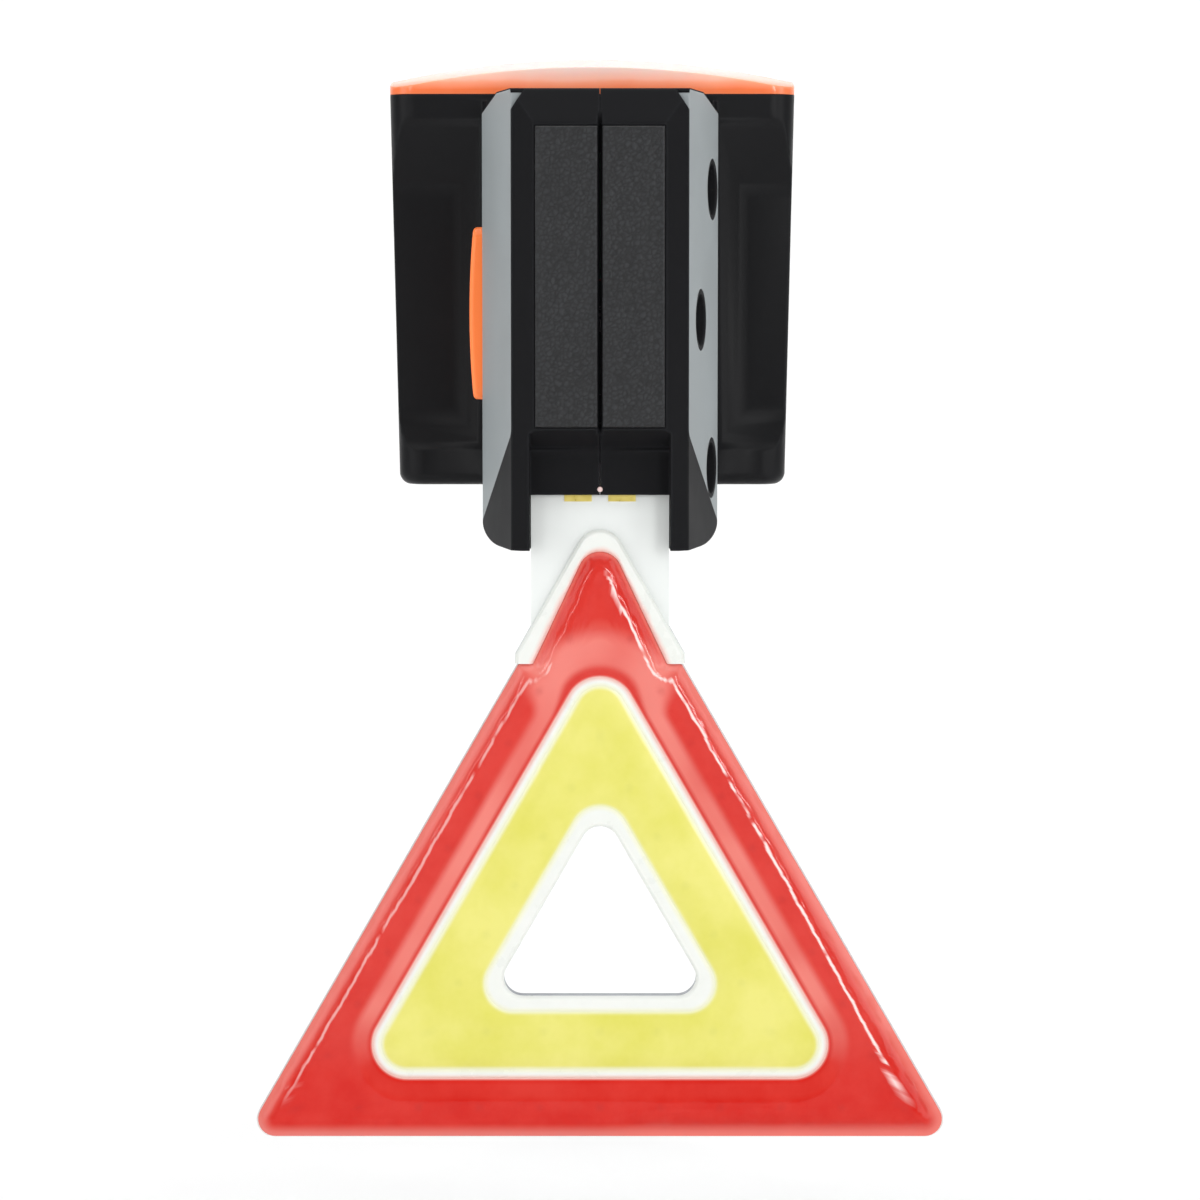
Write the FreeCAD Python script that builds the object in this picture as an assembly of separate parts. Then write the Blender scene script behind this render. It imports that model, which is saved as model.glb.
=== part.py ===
import FreeCAD, Part
import math
import os

# Portable hazard lamp: a black lamp head with an amber lens on top, a clamshell grip standing out
# of its front, and a triangular red and yellow light panel hanging from a pocket under the grip.
# Millimetres.  +Z is up, the grip faces -Y, and the origin is the middle of the flat back face.

# ---- driving dimensions -------------------------------------------------------------------------

# head
head_width_top = 46.8
head_width_bottom = 44.8
head_height = 45.0
head_depth = 24.0
head_corner = 3.0
head_wall = 1.8
front_wall = 4.8
ledge_z = 18.4
dish_depth = 2.0
dish_top = 21.0
dish_bottom = -19.2
lower_edge_round = 1.4
back_cover_thickness = 2.6
back_rebate = 0.9

# lens
lens_end_height = 1.9
lens_ridge_rise = 2.6
lens_side_rise = 1.4
lens_wall = 1.6

# neck and grip
neck_length = 10.0
neck_half = 12.9
neck_flare = 2.4
flare_radius = 4.4
grip_offset = 0.9
strip_depth = 18.4
grip_back_half = 13.3
grip_front_half = 9.65
nose_depth = 2.1
nose_half = 7.1
grip_top = 21.7
grip_bottom = -28.3
grip_rear_top = 19.9
plate_thickness = 1.45
pad_proud = 0.35
pad_sink = 0.9
parting_gap = 0.5
pad_top = 17.6
pad_bottom = -14.9

# light panel
panel_centre = -70.6
panel_apothem = 22.7
panel_corner = 1.9
border_apothem = 16.0
border_corner = 3.7
yellow_apothem = 15.1
yellow_corner = 2.8
hole_dam_apothem = 8.6
hole_dam_corner = 3.1
hole_apothem = 7.0
hole_corner = 2.1
board_thickness = 1.6
board_inset = 1.9
tab_half = 7.55
tab_top = -18.9
pocket_edge = -22.3
shoulder_half = 9.3
shoulder_top = -39.8
shoulder_z = -40.8
gel_height = 1.5
dam_height = 0.9
arch_tip = -28.5
arch_radius = 2.4
arch_angle = 25.3
arch_dam_radius = 2.6
arch_dam_angle = 29.4

# moving pieces
button_length = 19.5
button_width = 5.6
button_z = -2.65
button_crown = 14.8
button_rise = 0.45
button_gap = 0.15

# fasteners
screw_shank = 1.5
screw_head = 2.75
well_radius = 2.9
well_collar = 3.4

# ---- places worked out from them ----------------------------------------------------------------

head_top = head_height / 2
head_bottom = -head_height / 2
head_front = -head_depth
strip_back = head_front - neck_length
strip_front = strip_back - strip_depth
nose_front = strip_front - nose_depth
board_front = strip_front + board_inset
board_back = board_front + board_thickness
recess_face = board_front - 1.0
room_front = head_front + front_wall
button_y = strip_back + 1.15 + button_width / 2
magnet_boss_y = -4.4

# grip screws: (y, z, depth of the head's seat below the flank)
grip_screw_places = [
    (strip_front + 14.9, 11.2, 5.2),
    (strip_front + 7.6, -3.3, 2.6),
    (strip_front + 14.6, -19.9, 4.4),
]


# ---- shapes used more than once -----------------------------------------------------------------

def point(x, y, z):
    return FreeCAD.Vector(x, y, z)


def box(x0, x1, y0, y1, z0, z1):
    return Part.makeBox(x1 - x0, y1 - y0, z1 - z0, point(x0, y0, z0))


def rod(start, direction, radius, length):
    return Part.makeCylinder(radius, length, point(*start), point(*direction))


def outline(corners, radii, place):
    """Closed wire through the corners, each rounded to its radius; place turns (u, v) into a point."""
    edges = []
    count = len(corners)
    ends = []
    for i in range(count):
        ux, uy = corners[i]
        before = corners[i - 1]
        after = corners[(i + 1) % count]
        radius = radii[i]
        if radius == 0:
            ends.append((corners[i], corners[i], None))
            continue
        to_before = (before[0] - ux, before[1] - uy)
        to_after = (after[0] - ux, after[1] - uy)
        length_before = math.hypot(*to_before)
        length_after = math.hypot(*to_after)
        a = (to_before[0] / length_before, to_before[1] / length_before)
        b = (to_after[0] / length_after, to_after[1] / length_after)
        half = math.acos(max(-1.0, min(1.0, a[0] * b[0] + a[1] * b[1]))) / 2
        reach = radius / math.tan(half)
        middle = (a[0] + b[0], a[1] + b[1])
        middle_length = math.hypot(*middle)
        inward = radius / math.sin(half) - radius
        top = (ux + middle[0] / middle_length * inward, uy + middle[1] / middle_length * inward)
        start = (ux + a[0] * reach, uy + a[1] * reach)
        end = (ux + b[0] * reach, uy + b[1] * reach)
        ends.append((start, end, top))
    for i in range(count):
        start, end, top = ends[i]
        following = ends[(i + 1) % count][0]
        if top is not None:
            edges.append(Part.Arc(place(*start), place(*top), place(*end)).toShape())
        if math.hypot(end[0] - following[0], end[1] - following[1]) > 1e-6:
            edges.append(Part.LineSegment(place(*end), place(*following)).toShape())
    return Part.Wire(edges)


def prism_y(corners, radii, y0, y1):
    """Solid from y0 to y1 over an outline given as (x, z)."""
    wire = outline(corners, radii, lambda u, v: point(u, y0, v))
    return Part.Face(wire).extrude(point(0, y1 - y0, 0))


def prism_z(corners, radii, z0, z1):
    """Solid from z0 to z1 over an outline given as (x, y)."""
    wire = outline(corners, radii, lambda u, v: point(u, v, z0))
    return Part.Face(wire).extrude(point(0, 0, z1 - z0))


def prism_x(corners, radii, x0, x1):
    """Solid from x0 to x1 over an outline given as (y, z)."""
    wire = outline(corners, radii, lambda u, v: point(x0, u, v))
    return Part.Face(wire).extrude(point(x1 - x0, 0, 0))


def rectangle(half_width, low, high):
    return [(-half_width, low), (half_width, low), (half_width, high), (-half_width, high)]


def mirrored(shape):
    return shape.mirror(point(0, 0, 0), point(1, 0, 0))


def both_sides(shape):
    return shape.fuse(mirrored(shape))


def group(shapes):
    return Part.makeCompound(shapes)


def joined(shapes):
    return shapes[0].multiFuse(shapes[1:]).removeSplitter()


def beside_grip(shape):
    """Shape drawn about the grip's middle, moved to where the grip stands on the head."""
    return shape.translated(point(grip_offset, 0, 0))


def save(node, shape):
    os.makedirs("parts", exist_ok=True)
    shape.exportStep("parts/" + node + ".step")


def save_grip_part(node, shape):
    save(node, beside_grip(shape))


def head_half(z):
    """Half width of the tapering head at height z."""
    share = (z - head_bottom) / head_height
    return (head_width_bottom + (head_width_top - head_width_bottom) * share) / 2


def tapered_block(inset, y0, y1, z0, z1, corner):
    """Block with the head's own taper, inset from its sides, with rounded upright corners."""
    low_corners = rectangle(head_half(z0) - inset, y0, y1)
    high_corners = rectangle(head_half(z1) - inset, y0, y1)
    low = outline(low_corners, [corner] * 4, lambda u, v: point(u, v, z0))
    high = outline(high_corners, [corner] * 4, lambda u, v: point(u, v, z1))
    return Part.makeLoft([low, high], True, True)


def cord_tube(points, radius):
    """Round lead along straight runs joined by tangent arcs."""
    edges = []
    start = point(*points[0])
    for i in range(1, len(points) - 1):
        here = point(*points[i])
        back = (point(*points[i - 1]) - here)
        ahead = (point(*points[i + 1]) - here)
        reach = 0.45 * min(back.Length, ahead.Length)
        back.normalize()
        ahead.normalize()
        half = back.getAngle(ahead) / 2
        bend = reach * math.tan(half)
        first = here + back * reach
        last = here + ahead * reach
        inward = (back + ahead).normalize()
        top = here + inward * (bend / math.sin(half) - bend)
        edges.append(Part.LineSegment(start, first).toShape())
        edges.append(Part.Arc(first, top, last).toShape())
        start = last
    edges.append(Part.LineSegment(start, point(*points[-1])).toShape())
    path = Part.Wire(edges)
    direction = point(*points[1]) - point(*points[0])
    ring = Part.Wire(Part.makeCircle(radius, point(*points[0]), direction))
    return path.makePipeShell([ring], True, False)


def screw(start, direction, length, head_height=1.8, shank=screw_shank, head=screw_head):
    """Pan-head screw with a cross recess; start is the underside of its head."""
    axis = point(*direction)
    base = point(*start)
    body = Part.makeCylinder(shank, length, base, axis)
    cap = Part.makeCylinder(head, head_height, base - axis * head_height, axis)
    cap = cap.makeFillet(0.5, [edge_at(cap, base - axis * head_height)])
    cross = Part.makeCylinder(shank * 0.8, 1.0, base - axis * head_height, axis)
    side = point(direction[1], direction[2], direction[0])
    slot_a = bar_across(base - axis * head_height, axis, side, head * 1.3)
    slot_b = bar_across(base - axis * head_height, axis, axis.cross(side), head * 1.3)
    return joined([body, cap]).cut(cross.common(slot_a.fuse(slot_b)))


def bar_across(centre, axis, side, length):
    width = 0.6
    third = axis.cross(side)
    corner = centre - side * (length / 2) - third * (width / 2)
    points = [
        corner,
        corner + side * length,
        corner + side * length + third * width,
        corner + third * width,
        corner,
    ]
    return Part.Face(Part.makePolygon(points)).extrude(axis * 1.0)


def edge_at(shape, centre):
    """The round edge of a cylinder that lies at the given centre."""
    for edge in shape.Edges:
        if hasattr(edge.Curve, "Center") and (edge.Curve.Center - centre).Length < 1e-6:
            return edge
    raise ValueError("no round edge there")


def flank(y):
    """Half width of the grip's side at depth y."""
    share = (strip_back - y) / strip_depth
    return grip_back_half + (grip_front_half - grip_back_half) * share


# ---- head ---------------------------------------------------------------------------------------

def lens_top(inset):
    """Barrel-shaped solid whose upper face is the lens's crown, lowered by inset."""
    crown = head_top + lens_end_height + lens_ridge_rise - inset
    half = head_width_top / 2
    ridge = (half ** 2 + lens_ridge_rise ** 2) / (2 * lens_ridge_rise)
    middle = head_depth / 2
    side = (middle ** 2 + lens_side_rise ** 2) / (2 * lens_side_rise)
    reach = middle + 2.0
    drop = side - math.sqrt(side ** 2 - reach ** 2)
    centre_z = crown - ridge
    arc = Part.Arc(
        point(0, -middle - reach, crown - drop),
        point(0, -middle, crown),
        point(0, -middle + reach, crown - drop),
    ).toShape()
    bottom = ridge - 15.0
    side_a = Part.LineSegment(
        point(0, -middle + reach, crown - drop), point(0, -middle + reach, centre_z + bottom)
    ).toShape()
    base = Part.LineSegment(
        point(0, -middle + reach, centre_z + bottom), point(0, -middle - reach, centre_z + bottom)
    ).toShape()
    side_b = Part.LineSegment(
        point(0, -middle - reach, centre_z + bottom), point(0, -middle - reach, crown - drop)
    ).toShape()
    face = Part.Face(Part.Wire([arc, side_a, base, side_b]))
    turn = 30
    face.rotate(point(0, 0, centre_z), point(0, 1, 0), -turn / 2)
    return face.revolve(point(0, 0, centre_z), point(0, 1, 0), turn)


def lens_block(inset, low):
    corners = rectangle(head_width_top / 2 - inset, head_front + inset, -inset)
    block = prism_z(corners, [head_corner - inset * 0.8] * 4, low, head_top + 8)
    return block.common(lens_top(inset))


def make_lens():
    outer = lens_block(0, head_top)
    hollow = lens_block(lens_wall, head_top - 1)
    return outer.cut(hollow)


def wing_dishes():
    """Cutter that hollows the head's front on both sides of the neck, deepest half way up."""
    deep = head_front + dish_depth
    profile = [
        (head_front - 5, dish_top), (head_front, dish_top), (deep, 11.5), (deep, -14.6),
        (head_front, dish_bottom), (head_front - 5, dish_bottom),
    ]
    return both_sides(prism_x(profile, [0, 3.0, 9.0, 6.0, 3.0, 0], neck_half - 0.3, 60))


def neck_flares():
    """Concave flares that run out from the neck onto the hollowed front."""
    deep = head_front + dish_depth
    edge = neck_half + flare_radius
    solid = box(
        neck_half - 0.5, edge, head_front - neck_flare, deep + 0.4, head_bottom + 1.2, head_top - 0.8
    )
    hollow = rod((edge, deep - flare_radius, head_bottom - 1), (0, 0, 1), flare_radius, head_height + 2)
    return both_sides(solid.cut(hollow))


def make_head_housing():
    outer = tapered_block(0, head_front, 0, head_bottom, head_top, head_corner)
    lower = [e for e in outer.Edges if e.BoundBox.ZMax < head_bottom + 0.01]
    outer = outer.makeFillet(lower_edge_round, lower)
    shell = outer.cut(beside_grip(wing_dishes())).fuse(beside_grip(neck_flares())).removeSplitter()
    neck_slot = box(
        -neck_half - 0.05, neck_half + 0.05, head_front - 10, head_front, -40, 40
    )
    shell = shell.cut(beside_grip(neck_slot))
    room = tapered_block(
        head_wall, room_front, 5, head_bottom + head_wall, ledge_z, 0.8
    )
    tray = prism_z(
        rectangle(head_width_top / 2 - 2.4, head_front + 2.4, -2.9),
        [1.5] * 4, ledge_z - 0.01, head_top + 1,
    )
    rebate = cover_plate(0, -back_cover_thickness, 5)
    window = box(-10.1, 10.1, head_front - 1, room_front + 1, -12.1, 12.1)
    shell = shell.cut(room).cut(tray).cut(rebate).cut(beside_grip(window))
    shell = shell.cut(seal_ring(0.0))
    for x, z in neck_screw_places():
        hole = rod((x, head_front - 1, z), (0, 1, 0), screw_shank + 0.1, 10)
        seat = rod((x, room_front - 2.0, z), (0, 1, 0), screw_head + 0.15, 6)
        shell = shell.cut(beside_grip(hole)).cut(beside_grip(seat))
    posts = [cover_post(x, z) for x, z in cover_screw_places()]
    shell = joined([shell] + posts)
    socket_hole = box(-4.8, 4.8, -18.2, -14.2, head_bottom - 1, head_bottom + 3)
    flap_seat = box(-8.0, 8.0, -21.2, -11.4, head_bottom - 1, head_bottom + 1.2)
    return shell.cut(socket_hole).cut(flap_seat)


def cover_screw_places():
    return [(18.6, 15.6), (-18.6, 15.6), (18.0, -17.6), (-18.0, -17.6)]


def neck_screw_places():
    return [(7.0, 15.3), (-7.0, 15.3), (7.0, -17.2), (-7.0, -17.2)]


def cover_post(x, z):
    """Screw post from the front wall back to the cover, with its pilot hole."""
    side = 1 if x > 0 else -1
    post = rod((x, room_front - 0.5, z), (0, 1, 0), 2.6, -back_cover_thickness - room_front + 0.5)
    web = box(
        min(x, side * 21.5), max(x, side * 21.5),
        room_front - 0.5, -back_cover_thickness, z - 0.9, z + 0.9,
    )
    pilot = rod((x, -12.0, z), (0, 1, 0), screw_shank, 12)
    return post.fuse(web).cut(pilot)


def seal_ring(clearance):
    outer = prism_z(
        rectangle(head_width_top / 2 - 0.55, head_front + 0.55, -0.55),
        [head_corner - 0.5] * 4, head_top - 0.6 + clearance, head_top,
    )
    inner = prism_z(
        rectangle(head_width_top / 2 - 1.45, head_front + 1.45, -1.45),
        [head_corner - 1.3] * 4, head_top - 2, head_top + 1,
    )
    return outer.cut(inner)


def cover_plate(gap, y0, y1):
    """Plate with the outline of the opening in the head's back."""
    low = head_bottom + back_rebate + gap
    high = ledge_z - gap
    inset = back_rebate + gap
    corners = [
        (-head_half(low) + inset, low), (head_half(low) - inset, low),
        (head_half(high) - inset, high), (-head_half(high) + inset, high),
    ]
    return prism_y(corners, [2.2] * 4, y0, y1)


def make_back_cover():
    plate = cover_plate(0.05, -back_cover_thickness, 0)
    boss = rod((0, magnet_boss_y, 0), (0, 1, 0), 12.0, 3.0)
    cup = rod((0, -3.2, 0), (0, 1, 0), 10.05, 5)
    plate = plate.fuse(boss).removeSplitter().cut(cup)
    for x, z in cover_screw_places():
        plate = plate.cut(rod((x, -10, z), (0, 1, 0), screw_shank + 0.15, 12))
        plate = plate.cut(rod((x, -1.4, z), (0, 1, 0), screw_head + 0.2, 3))
    return plate


def make_back_cover_screws():
    return group([screw((x, -1.4, z), (0, -1, 0), 8.5, 1.2) for x, z in cover_screw_places()])


def make_neck_screws():
    return group([screw((x, room_front - 2.0, z), (0, -1, 0), 8.0) for x, z in neck_screw_places()])


def led_places():
    return [(x, y) for x in (-14.0, 0.0, 14.0) for y in (-16.5, -7.5)]


def make_reflector():
    tray = prism_z(
        rectangle(head_width_top / 2 - 2.7, head_front + 2.7, -3.2),
        [1.2] * 4, ledge_z + 1.2, head_top - 0.1,
    )
    for x, y in led_places():
        bowl = Part.makeCone(2.4, 3.9, 2.9, point(x, y, ledge_z + 1.15), point(0, 0, 1))
        tray = tray.cut(bowl)
    return tray


def make_beacon_board():
    return prism_z(
        rectangle(head_width_top / 2 - 2.6, head_front + 2.6, -3.1),
        [1.2] * 4, ledge_z, ledge_z + 1.2,
    )


def make_beacon_leds():
    base = ledge_z + 1.2
    leds = []
    for x, y in led_places():
        body = box(x - 1.4, x + 1.4, y - 1.4, y + 1.4, base, base + 0.9)
        dome = Part.makeSphere(1.1, point(x, y, base + 0.9), point(0, 0, 1), 0, 90, 360)
        leds.append(body.fuse(dome))
    return group(leds)


def make_battery():
    cell = box(-14.6, 14.6, -10.9, -4.9, -15.5, 13.5)
    long_edges = [e for e in cell.Edges if e.BoundBox.ZLength > 20]
    return cell.makeFillet(1.6, long_edges)


def make_battery_cradle():
    frame = box(-15.3, 15.3, -13.0, -6.2, -16.6, 14.6)
    frame = frame.cut(box(-14.65, 14.65, -10.95, 0, -15.55, 13.55))
    frame = frame.cut(box(-11, 11, -14, 0, -11, 9)).cut(box(-4, 4, -14, 0, 13, 15))
    for x, z in board_screw_places():
        frame = frame.cut(rod((x, -14, z), (0, 1, 0), 1.0, 2.9))
    return frame


def make_control_board():
    board = box(-15.3, 15.3, -14.2, -13.0, -17.0, 14.8)
    for x, z in board_screw_places():
        board = board.cut(rod((x, -15, z), (0, 1, 0), 1.1, 3))
    return board


def board_screw_places():
    return [(x, z) for x in (-13.6, 13.6) for z in (-13.5, 11.6)]


def make_board_screws():
    return group([
        screw((x, -14.2, z), (0, 1, 0), 3.0, 1.0, 1.0, 1.7) for x, z in board_screw_places()
    ])


def make_board_components():
    front = -14.2
    chip = box(-6.5, -1.5, front - 1.2, front, -3.0, 2.0)
    coil = rod((7.0, front, -1.0), (0, -1, 0), 2.9, 2.8)
    capacitor = rod((-9.5, front, 7.5), (0, -1, 0), 2.0, 3.6)
    diode = box(2.0, 5.2, front - 1.1, front, 5.5, 7.5)
    return group([chip, coil, capacitor, diode])


def make_charge_socket():
    shell = prism_z(
        [(-4.4, -17.5), (4.4, -17.5), (4.4, -14.3), (-4.4, -14.3)],
        [1.3] * 4, head_bottom + 1.25, -14.0,
    )
    mouth = prism_z(
        [(-4.1, -17.2), (4.1, -17.2), (4.1, -14.6), (-4.1, -14.6)],
        [1.1] * 4, head_bottom, -15.2,
    )
    tongue = box(-3.3, 3.3, -16.25, -15.55, head_bottom + 2.4, -15.0)
    return shell.cut(mouth).fuse(tongue)


def make_charge_cover():
    plate = box(-7.7, 7.7, -20.9, -11.7, head_bottom + 0.05, head_bottom + 1.1)
    upright = [e for e in plate.Edges if e.BoundBox.ZLength > 0.5]
    plate = plate.makeFillet(1.2, upright)
    plug = box(-3.4, 3.4, -16.9, -14.9, head_bottom + 1.0, head_bottom + 1.6)
    lip = box(-3.0, 3.0, -21.15, -20.5, head_bottom - 0.5, head_bottom + 0.7)
    return joined([plate, plug, lip])


# ---- grip ---------------------------------------------------------------------------------------

def grip_outline_block():
    """The whole grip and neck as one solid, before it is split into shells, plates and pads."""
    plan = [
        (-grip_back_half, strip_back), (-grip_front_half, strip_front), (-nose_half, nose_front),
        (nose_half, nose_front), (grip_front_half, strip_front), (grip_back_half, strip_back),
    ]
    body = prism_z(plan, [0, 0.9, 0.9, 0.9, 0.9, 0], grip_bottom, grip_top)
    neck = box(-neck_half, neck_half, strip_back - 1, head_front, -20.5, grip_rear_top)
    side_view = [
        (nose_front, 17.9), (strip_front + 0.1, grip_top), (strip_back - 9.6, grip_top),
        (strip_back, grip_rear_top), (head_front + 5, grip_rear_top), (head_front + 5, grip_bottom),
        (nose_front, grip_bottom),
    ]
    side = prism_x(side_view, [0.8, 0.6, 0, 0, 0, 0, 1.2], -30, 30)
    block = body.fuse(neck).common(side)
    corner = box(grip_back_half - 2.1, 30, -70, 0, grip_bottom - 1, grip_bottom + 2.1)
    round_end = rod((grip_back_half - 2.1, -70, grip_bottom + 2.1), (0, 1, 0), 2.1, 70)
    return block.cut(both_sides(corner.cut(round_end)))


def plate_slab(outer_shift, inner_shift):
    """Layer along the right flank between two distances in from its face."""
    back_y = strip_back
    front_y = strip_front + 0.15
    plan = [
        (flank(back_y) - outer_shift, back_y), (flank(front_y) - outer_shift, front_y),
        (flank(front_y) - inner_shift, front_y), (flank(back_y) - inner_shift, back_y),
    ]
    return prism_z(plan, [0] * 4, -40, 40)


def plate_side(grow):
    """Side view of a flank plate."""
    front_y = strip_front + 0.15 - grow
    low_front = -15.7
    low_back = -26.0
    corners = [
        (front_y, grip_top - 0.1 + grow), (strip_back - 9.6, grip_top - 0.1 + grow),
        (strip_back, grip_rear_top - 0.1 + grow), (strip_back, low_back - grow),
        (front_y, low_front - grow),
    ]
    return prism_x(corners, [0.4, 0, 0, 0, 1.0], -30, 30)


def grip_body():
    """The black moulding: the whole block less plate pockets, pads, pocket and rooms."""
    block = grip_outline_block()
    pockets = both_sides(plate_slab(-5, plate_thickness).common(plate_side(0)))
    block = block.cut(pockets)
    wedge = [(8.1, grip_top), (20, grip_top), (20, 19.4), (grip_front_half, 19.4)]
    nose_cut = prism_y([(x, z + 0.01) for x, z in wedge], [0] * 4, -70, strip_front + 0.15)
    block = block.cut(both_sides(nose_cut))
    pad_bed = box(
        -nose_half + 0.05, nose_half - 0.05, nose_front - 1, nose_front + pad_sink,
        pad_bottom, pad_top,
    )
    block = block.cut(pad_bed)
    recess_view = [
        (nose_front - 5, pad_bottom + 0.3), (nose_front, pad_bottom - 0.2),
        (recess_face, pad_bottom - 2.6), (recess_face, -60), (nose_front - 5, -60),
    ]
    recess = prism_x(recess_view, [0, 0.3, 1.6, 0, 0], -tab_half - 0.1, tab_half + 0.1)
    slot = box(
        -tab_half - 0.1, tab_half + 0.1, board_front - 0.45, board_back, -60, tab_top + 0.2
    )
    below = box(-tab_half - 0.1, tab_half + 0.1, -70, board_back, -60, pocket_edge)
    socket_room = box(-6.6, 6.6, board_front - 0.45, board_front + 5.5, tab_top + 0.1, -13.3)
    front_room = box(-6.0, 6.0, nose_front + 2.7, strip_front + 11.2, -13.4, 16.0)
    boss = rod((-20, grip_screw_places[1][0], grip_screw_places[1][1]), (1, 0, 0), 3.3, 40)
    front_room = front_room.cut(boss)
    channel = box(-2.2, 2.2, strip_front + 10.4, button_y - 1.0, 2.2, 6.2)
    neck_room = box(-neck_half + 1.6, 10.4, button_y - 2.95, head_front - 1.6, -15.2, 10.0)
    tunnel = box(-5.0, 5.0, head_front - 2.0, room_front + 1, -6.0, 3.0)
    for room in (recess, slot, below, socket_room, front_room, channel, neck_room):
        block = block.cut(room)
    spigot = box(-10.0, 10.0, head_front - 0.5, room_front - 0.1, -12.0, 12.0)
    block = block.fuse(spigot).cut(tunnel)
    window = button_outline(button_gap, -20, -neck_half + 3)
    block = block.cut(window)
    dot = rod((0, -60, pocket_edge + 0.6), (0, 1, 0), 0.32, 60 + board_front)
    block = block.cut(dot)
    for x, z in neck_screw_places():
        block = block.cut(rod((x, head_front + 1, z), (0, -1, 0), screw_shank, 8))
    return block


def screw_cuts():
    """Seats, clearance holes and pilot holes of the three grip screws, entered from the right."""
    cuts = []
    for y, z, depth in grip_screw_places:
        seat_x = flank(y) - depth
        cuts.append(rod((seat_x, y, z), (1, 0, 0), well_radius, 20))
        cuts.append(rod((-1.0, y, z), (1, 0, 0), screw_shank + 0.12, 20))
        cuts.append(rod((seat_x - 14.2, y, z), (1, 0, 0), screw_shank, 20))
    return cuts


def make_grip_shells():
    body = grip_body()
    for y, z, depth in grip_screw_places:
        collar = rod((0, y, z), (1, 0, 0), well_collar, 20)
        body = body.fuse(collar.common(plate_slab(0.04, plate_thickness + 0.4)))
    for cut in screw_cuts():
        body = body.cut(cut)
    left = body.common(box(-40, -0.03, -80, 0, -60, 60))
    right = body.common(box(0.03, 40, -80, 0, -60, 60))
    groove = box(
        -parting_gap / 2, parting_gap / 2, nose_front - 1, nose_front + 0.7, -60, 60
    )
    return left.cut(groove), right.cut(groove)


def make_side_plates():
    slab = plate_slab(0, plate_thickness - 0.02).common(plate_side(-0.04))
    right = slab
    for y, z, depth in grip_screw_places:
        right = right.cut(rod((0, y, z), (1, 0, 0), well_collar + 0.04, 30))
    return mirrored(slab), right


def make_pad(side):
    inner = parting_gap / 2
    outer = nose_half - 0.1
    back = nose_front + pad_sink
    front = nose_front - pad_proud
    pad = box(inner, outer, front, back, pad_bottom + 0.05, pad_top - 0.05)
    rim = [
        e for e in pad.Edges
        if e.BoundBox.YMax < front + 0.01 and (e.BoundBox.XMin > inner + 0.01 or e.BoundBox.ZLength < 1)
    ]
    pad = pad.makeFillet(0.3, rim)
    if side < 0:
        return mirrored(pad)
    return pad


def make_grip_screws():
    screws = []
    for y, z, depth in grip_screw_places:
        screws.append(screw((flank(y) - depth, y, z), (-1, 0, 0), 14.0))
    return group(screws)


def button_outline(grow, x0, x1):
    half = button_width / 2 + grow
    low = button_z - button_length / 2 - grow
    high = button_z + button_length / 2 + grow
    corners = [
        (button_y - half, low), (button_y + half, low), (button_y + half, high), (button_y - half, high),
    ]
    return prism_x(corners, [1.4 + grow] * 4, x0, x1)


def make_thumb_button():
    """Crowned cap through the neck's left side, a flange that keeps it in, and a stem to the switch."""
    cap = button_outline(0, -button_crown, -neck_half + 1.75)
    half = button_length / 2
    crown_radius = (half ** 2 + button_rise ** 2) / (2 * button_rise)
    crown = rod(
        (-button_crown + crown_radius, button_y - 10, button_z), (0, 1, 0), crown_radius, 20
    )
    cap = cap.common(crown)
    face = [e for e in cap.Edges if e.BoundBox.XMax < -button_crown + button_rise + 0.2]
    cap = cap.makeFillet(0.5, face)
    flange = button_outline(0.0, -neck_half + 1.75, -neck_half + 2.6)
    ears = box(
        -neck_half + 1.75, -neck_half + 2.6, button_y - 2.0, button_y + 2.0,
        button_z - half - 1.3, button_z + half + 1.3,
    )
    stem = rod((-neck_half + 2.5, button_y, button_z), (1, 0, 0), 1.5, neck_half - 2.5 - 7.5)
    return joined([cap, flange, ears, stem])


def make_switch():
    body = box(-6.0, -2.0, button_y - 2.7, button_y + 2.7, button_z - 3.0, button_z + 3.0)
    body = body.cut(rod((-6.5, button_y, button_z), (1, 0, 0), 1.66, 3.8))
    plunger = rod((-7.5, button_y, button_z), (1, 0, 0), 1.6, 3.1)
    board = box(-2.0, -0.8, button_y - 2.8, button_y + 2.8, -14.0, 9.0)
    return body, plunger, board


def make_driver_board():
    front = nose_front + 3.5
    board = box(-0.8, 0.4, front, front + 9.0, 1.2, 14.8)
    coil = rod((0.4, front + 4.4, 5.6), (1, 0, 0), 2.4, 2.6)
    chip = box(0.4, 1.5, front + 2.6, front + 6.2, 9.4, 13.0)
    capacitor = box(-2.2, -0.8, front + 2.8, front + 5.6, 8.0, 11.2)
    return board, group([coil, chip, capacitor])


def make_panel_socket():
    block = box(-6.4, 6.4, board_front - 0.4, board_front + 5.3, tab_top + 0.15, -14.6)
    for side in (-1, 1):
        x0 = min(side * 0.85, side * 3.95)
        block = block.cut(box(x0, x0 + 3.1, board_front - 0.5, board_front - 0.02, -30, -14))
    return block


def contact_spring(side):
    """Flat leaf that comes down from the socket and bears on one gold pad."""
    x0 = min(side * 0.95, side * 3.85)
    return box(x0, x0 + 2.9, board_front - 0.36, board_front - 0.12, pocket_edge + 0.3, -14.7)


def make_indicator():
    return rod((0, recess_face + 0.05, pocket_edge + 0.6), (0, 1, 0), 0.27, 2.0).common(
        box(-1, 1, -60, board_front - 0.05, -40, 0)
    )


# ---- light panel --------------------------------------------------------------------------------

def triangle_corners(apothem):
    half = apothem * math.sqrt(3)
    low = panel_centre - apothem
    return [(-half, low), (half, low), (0, panel_centre + 2 * apothem)]


def triangle(apothem, corner, y0, y1):
    return prism_y(triangle_corners(apothem), [corner] * 3, y0, y1)


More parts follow.
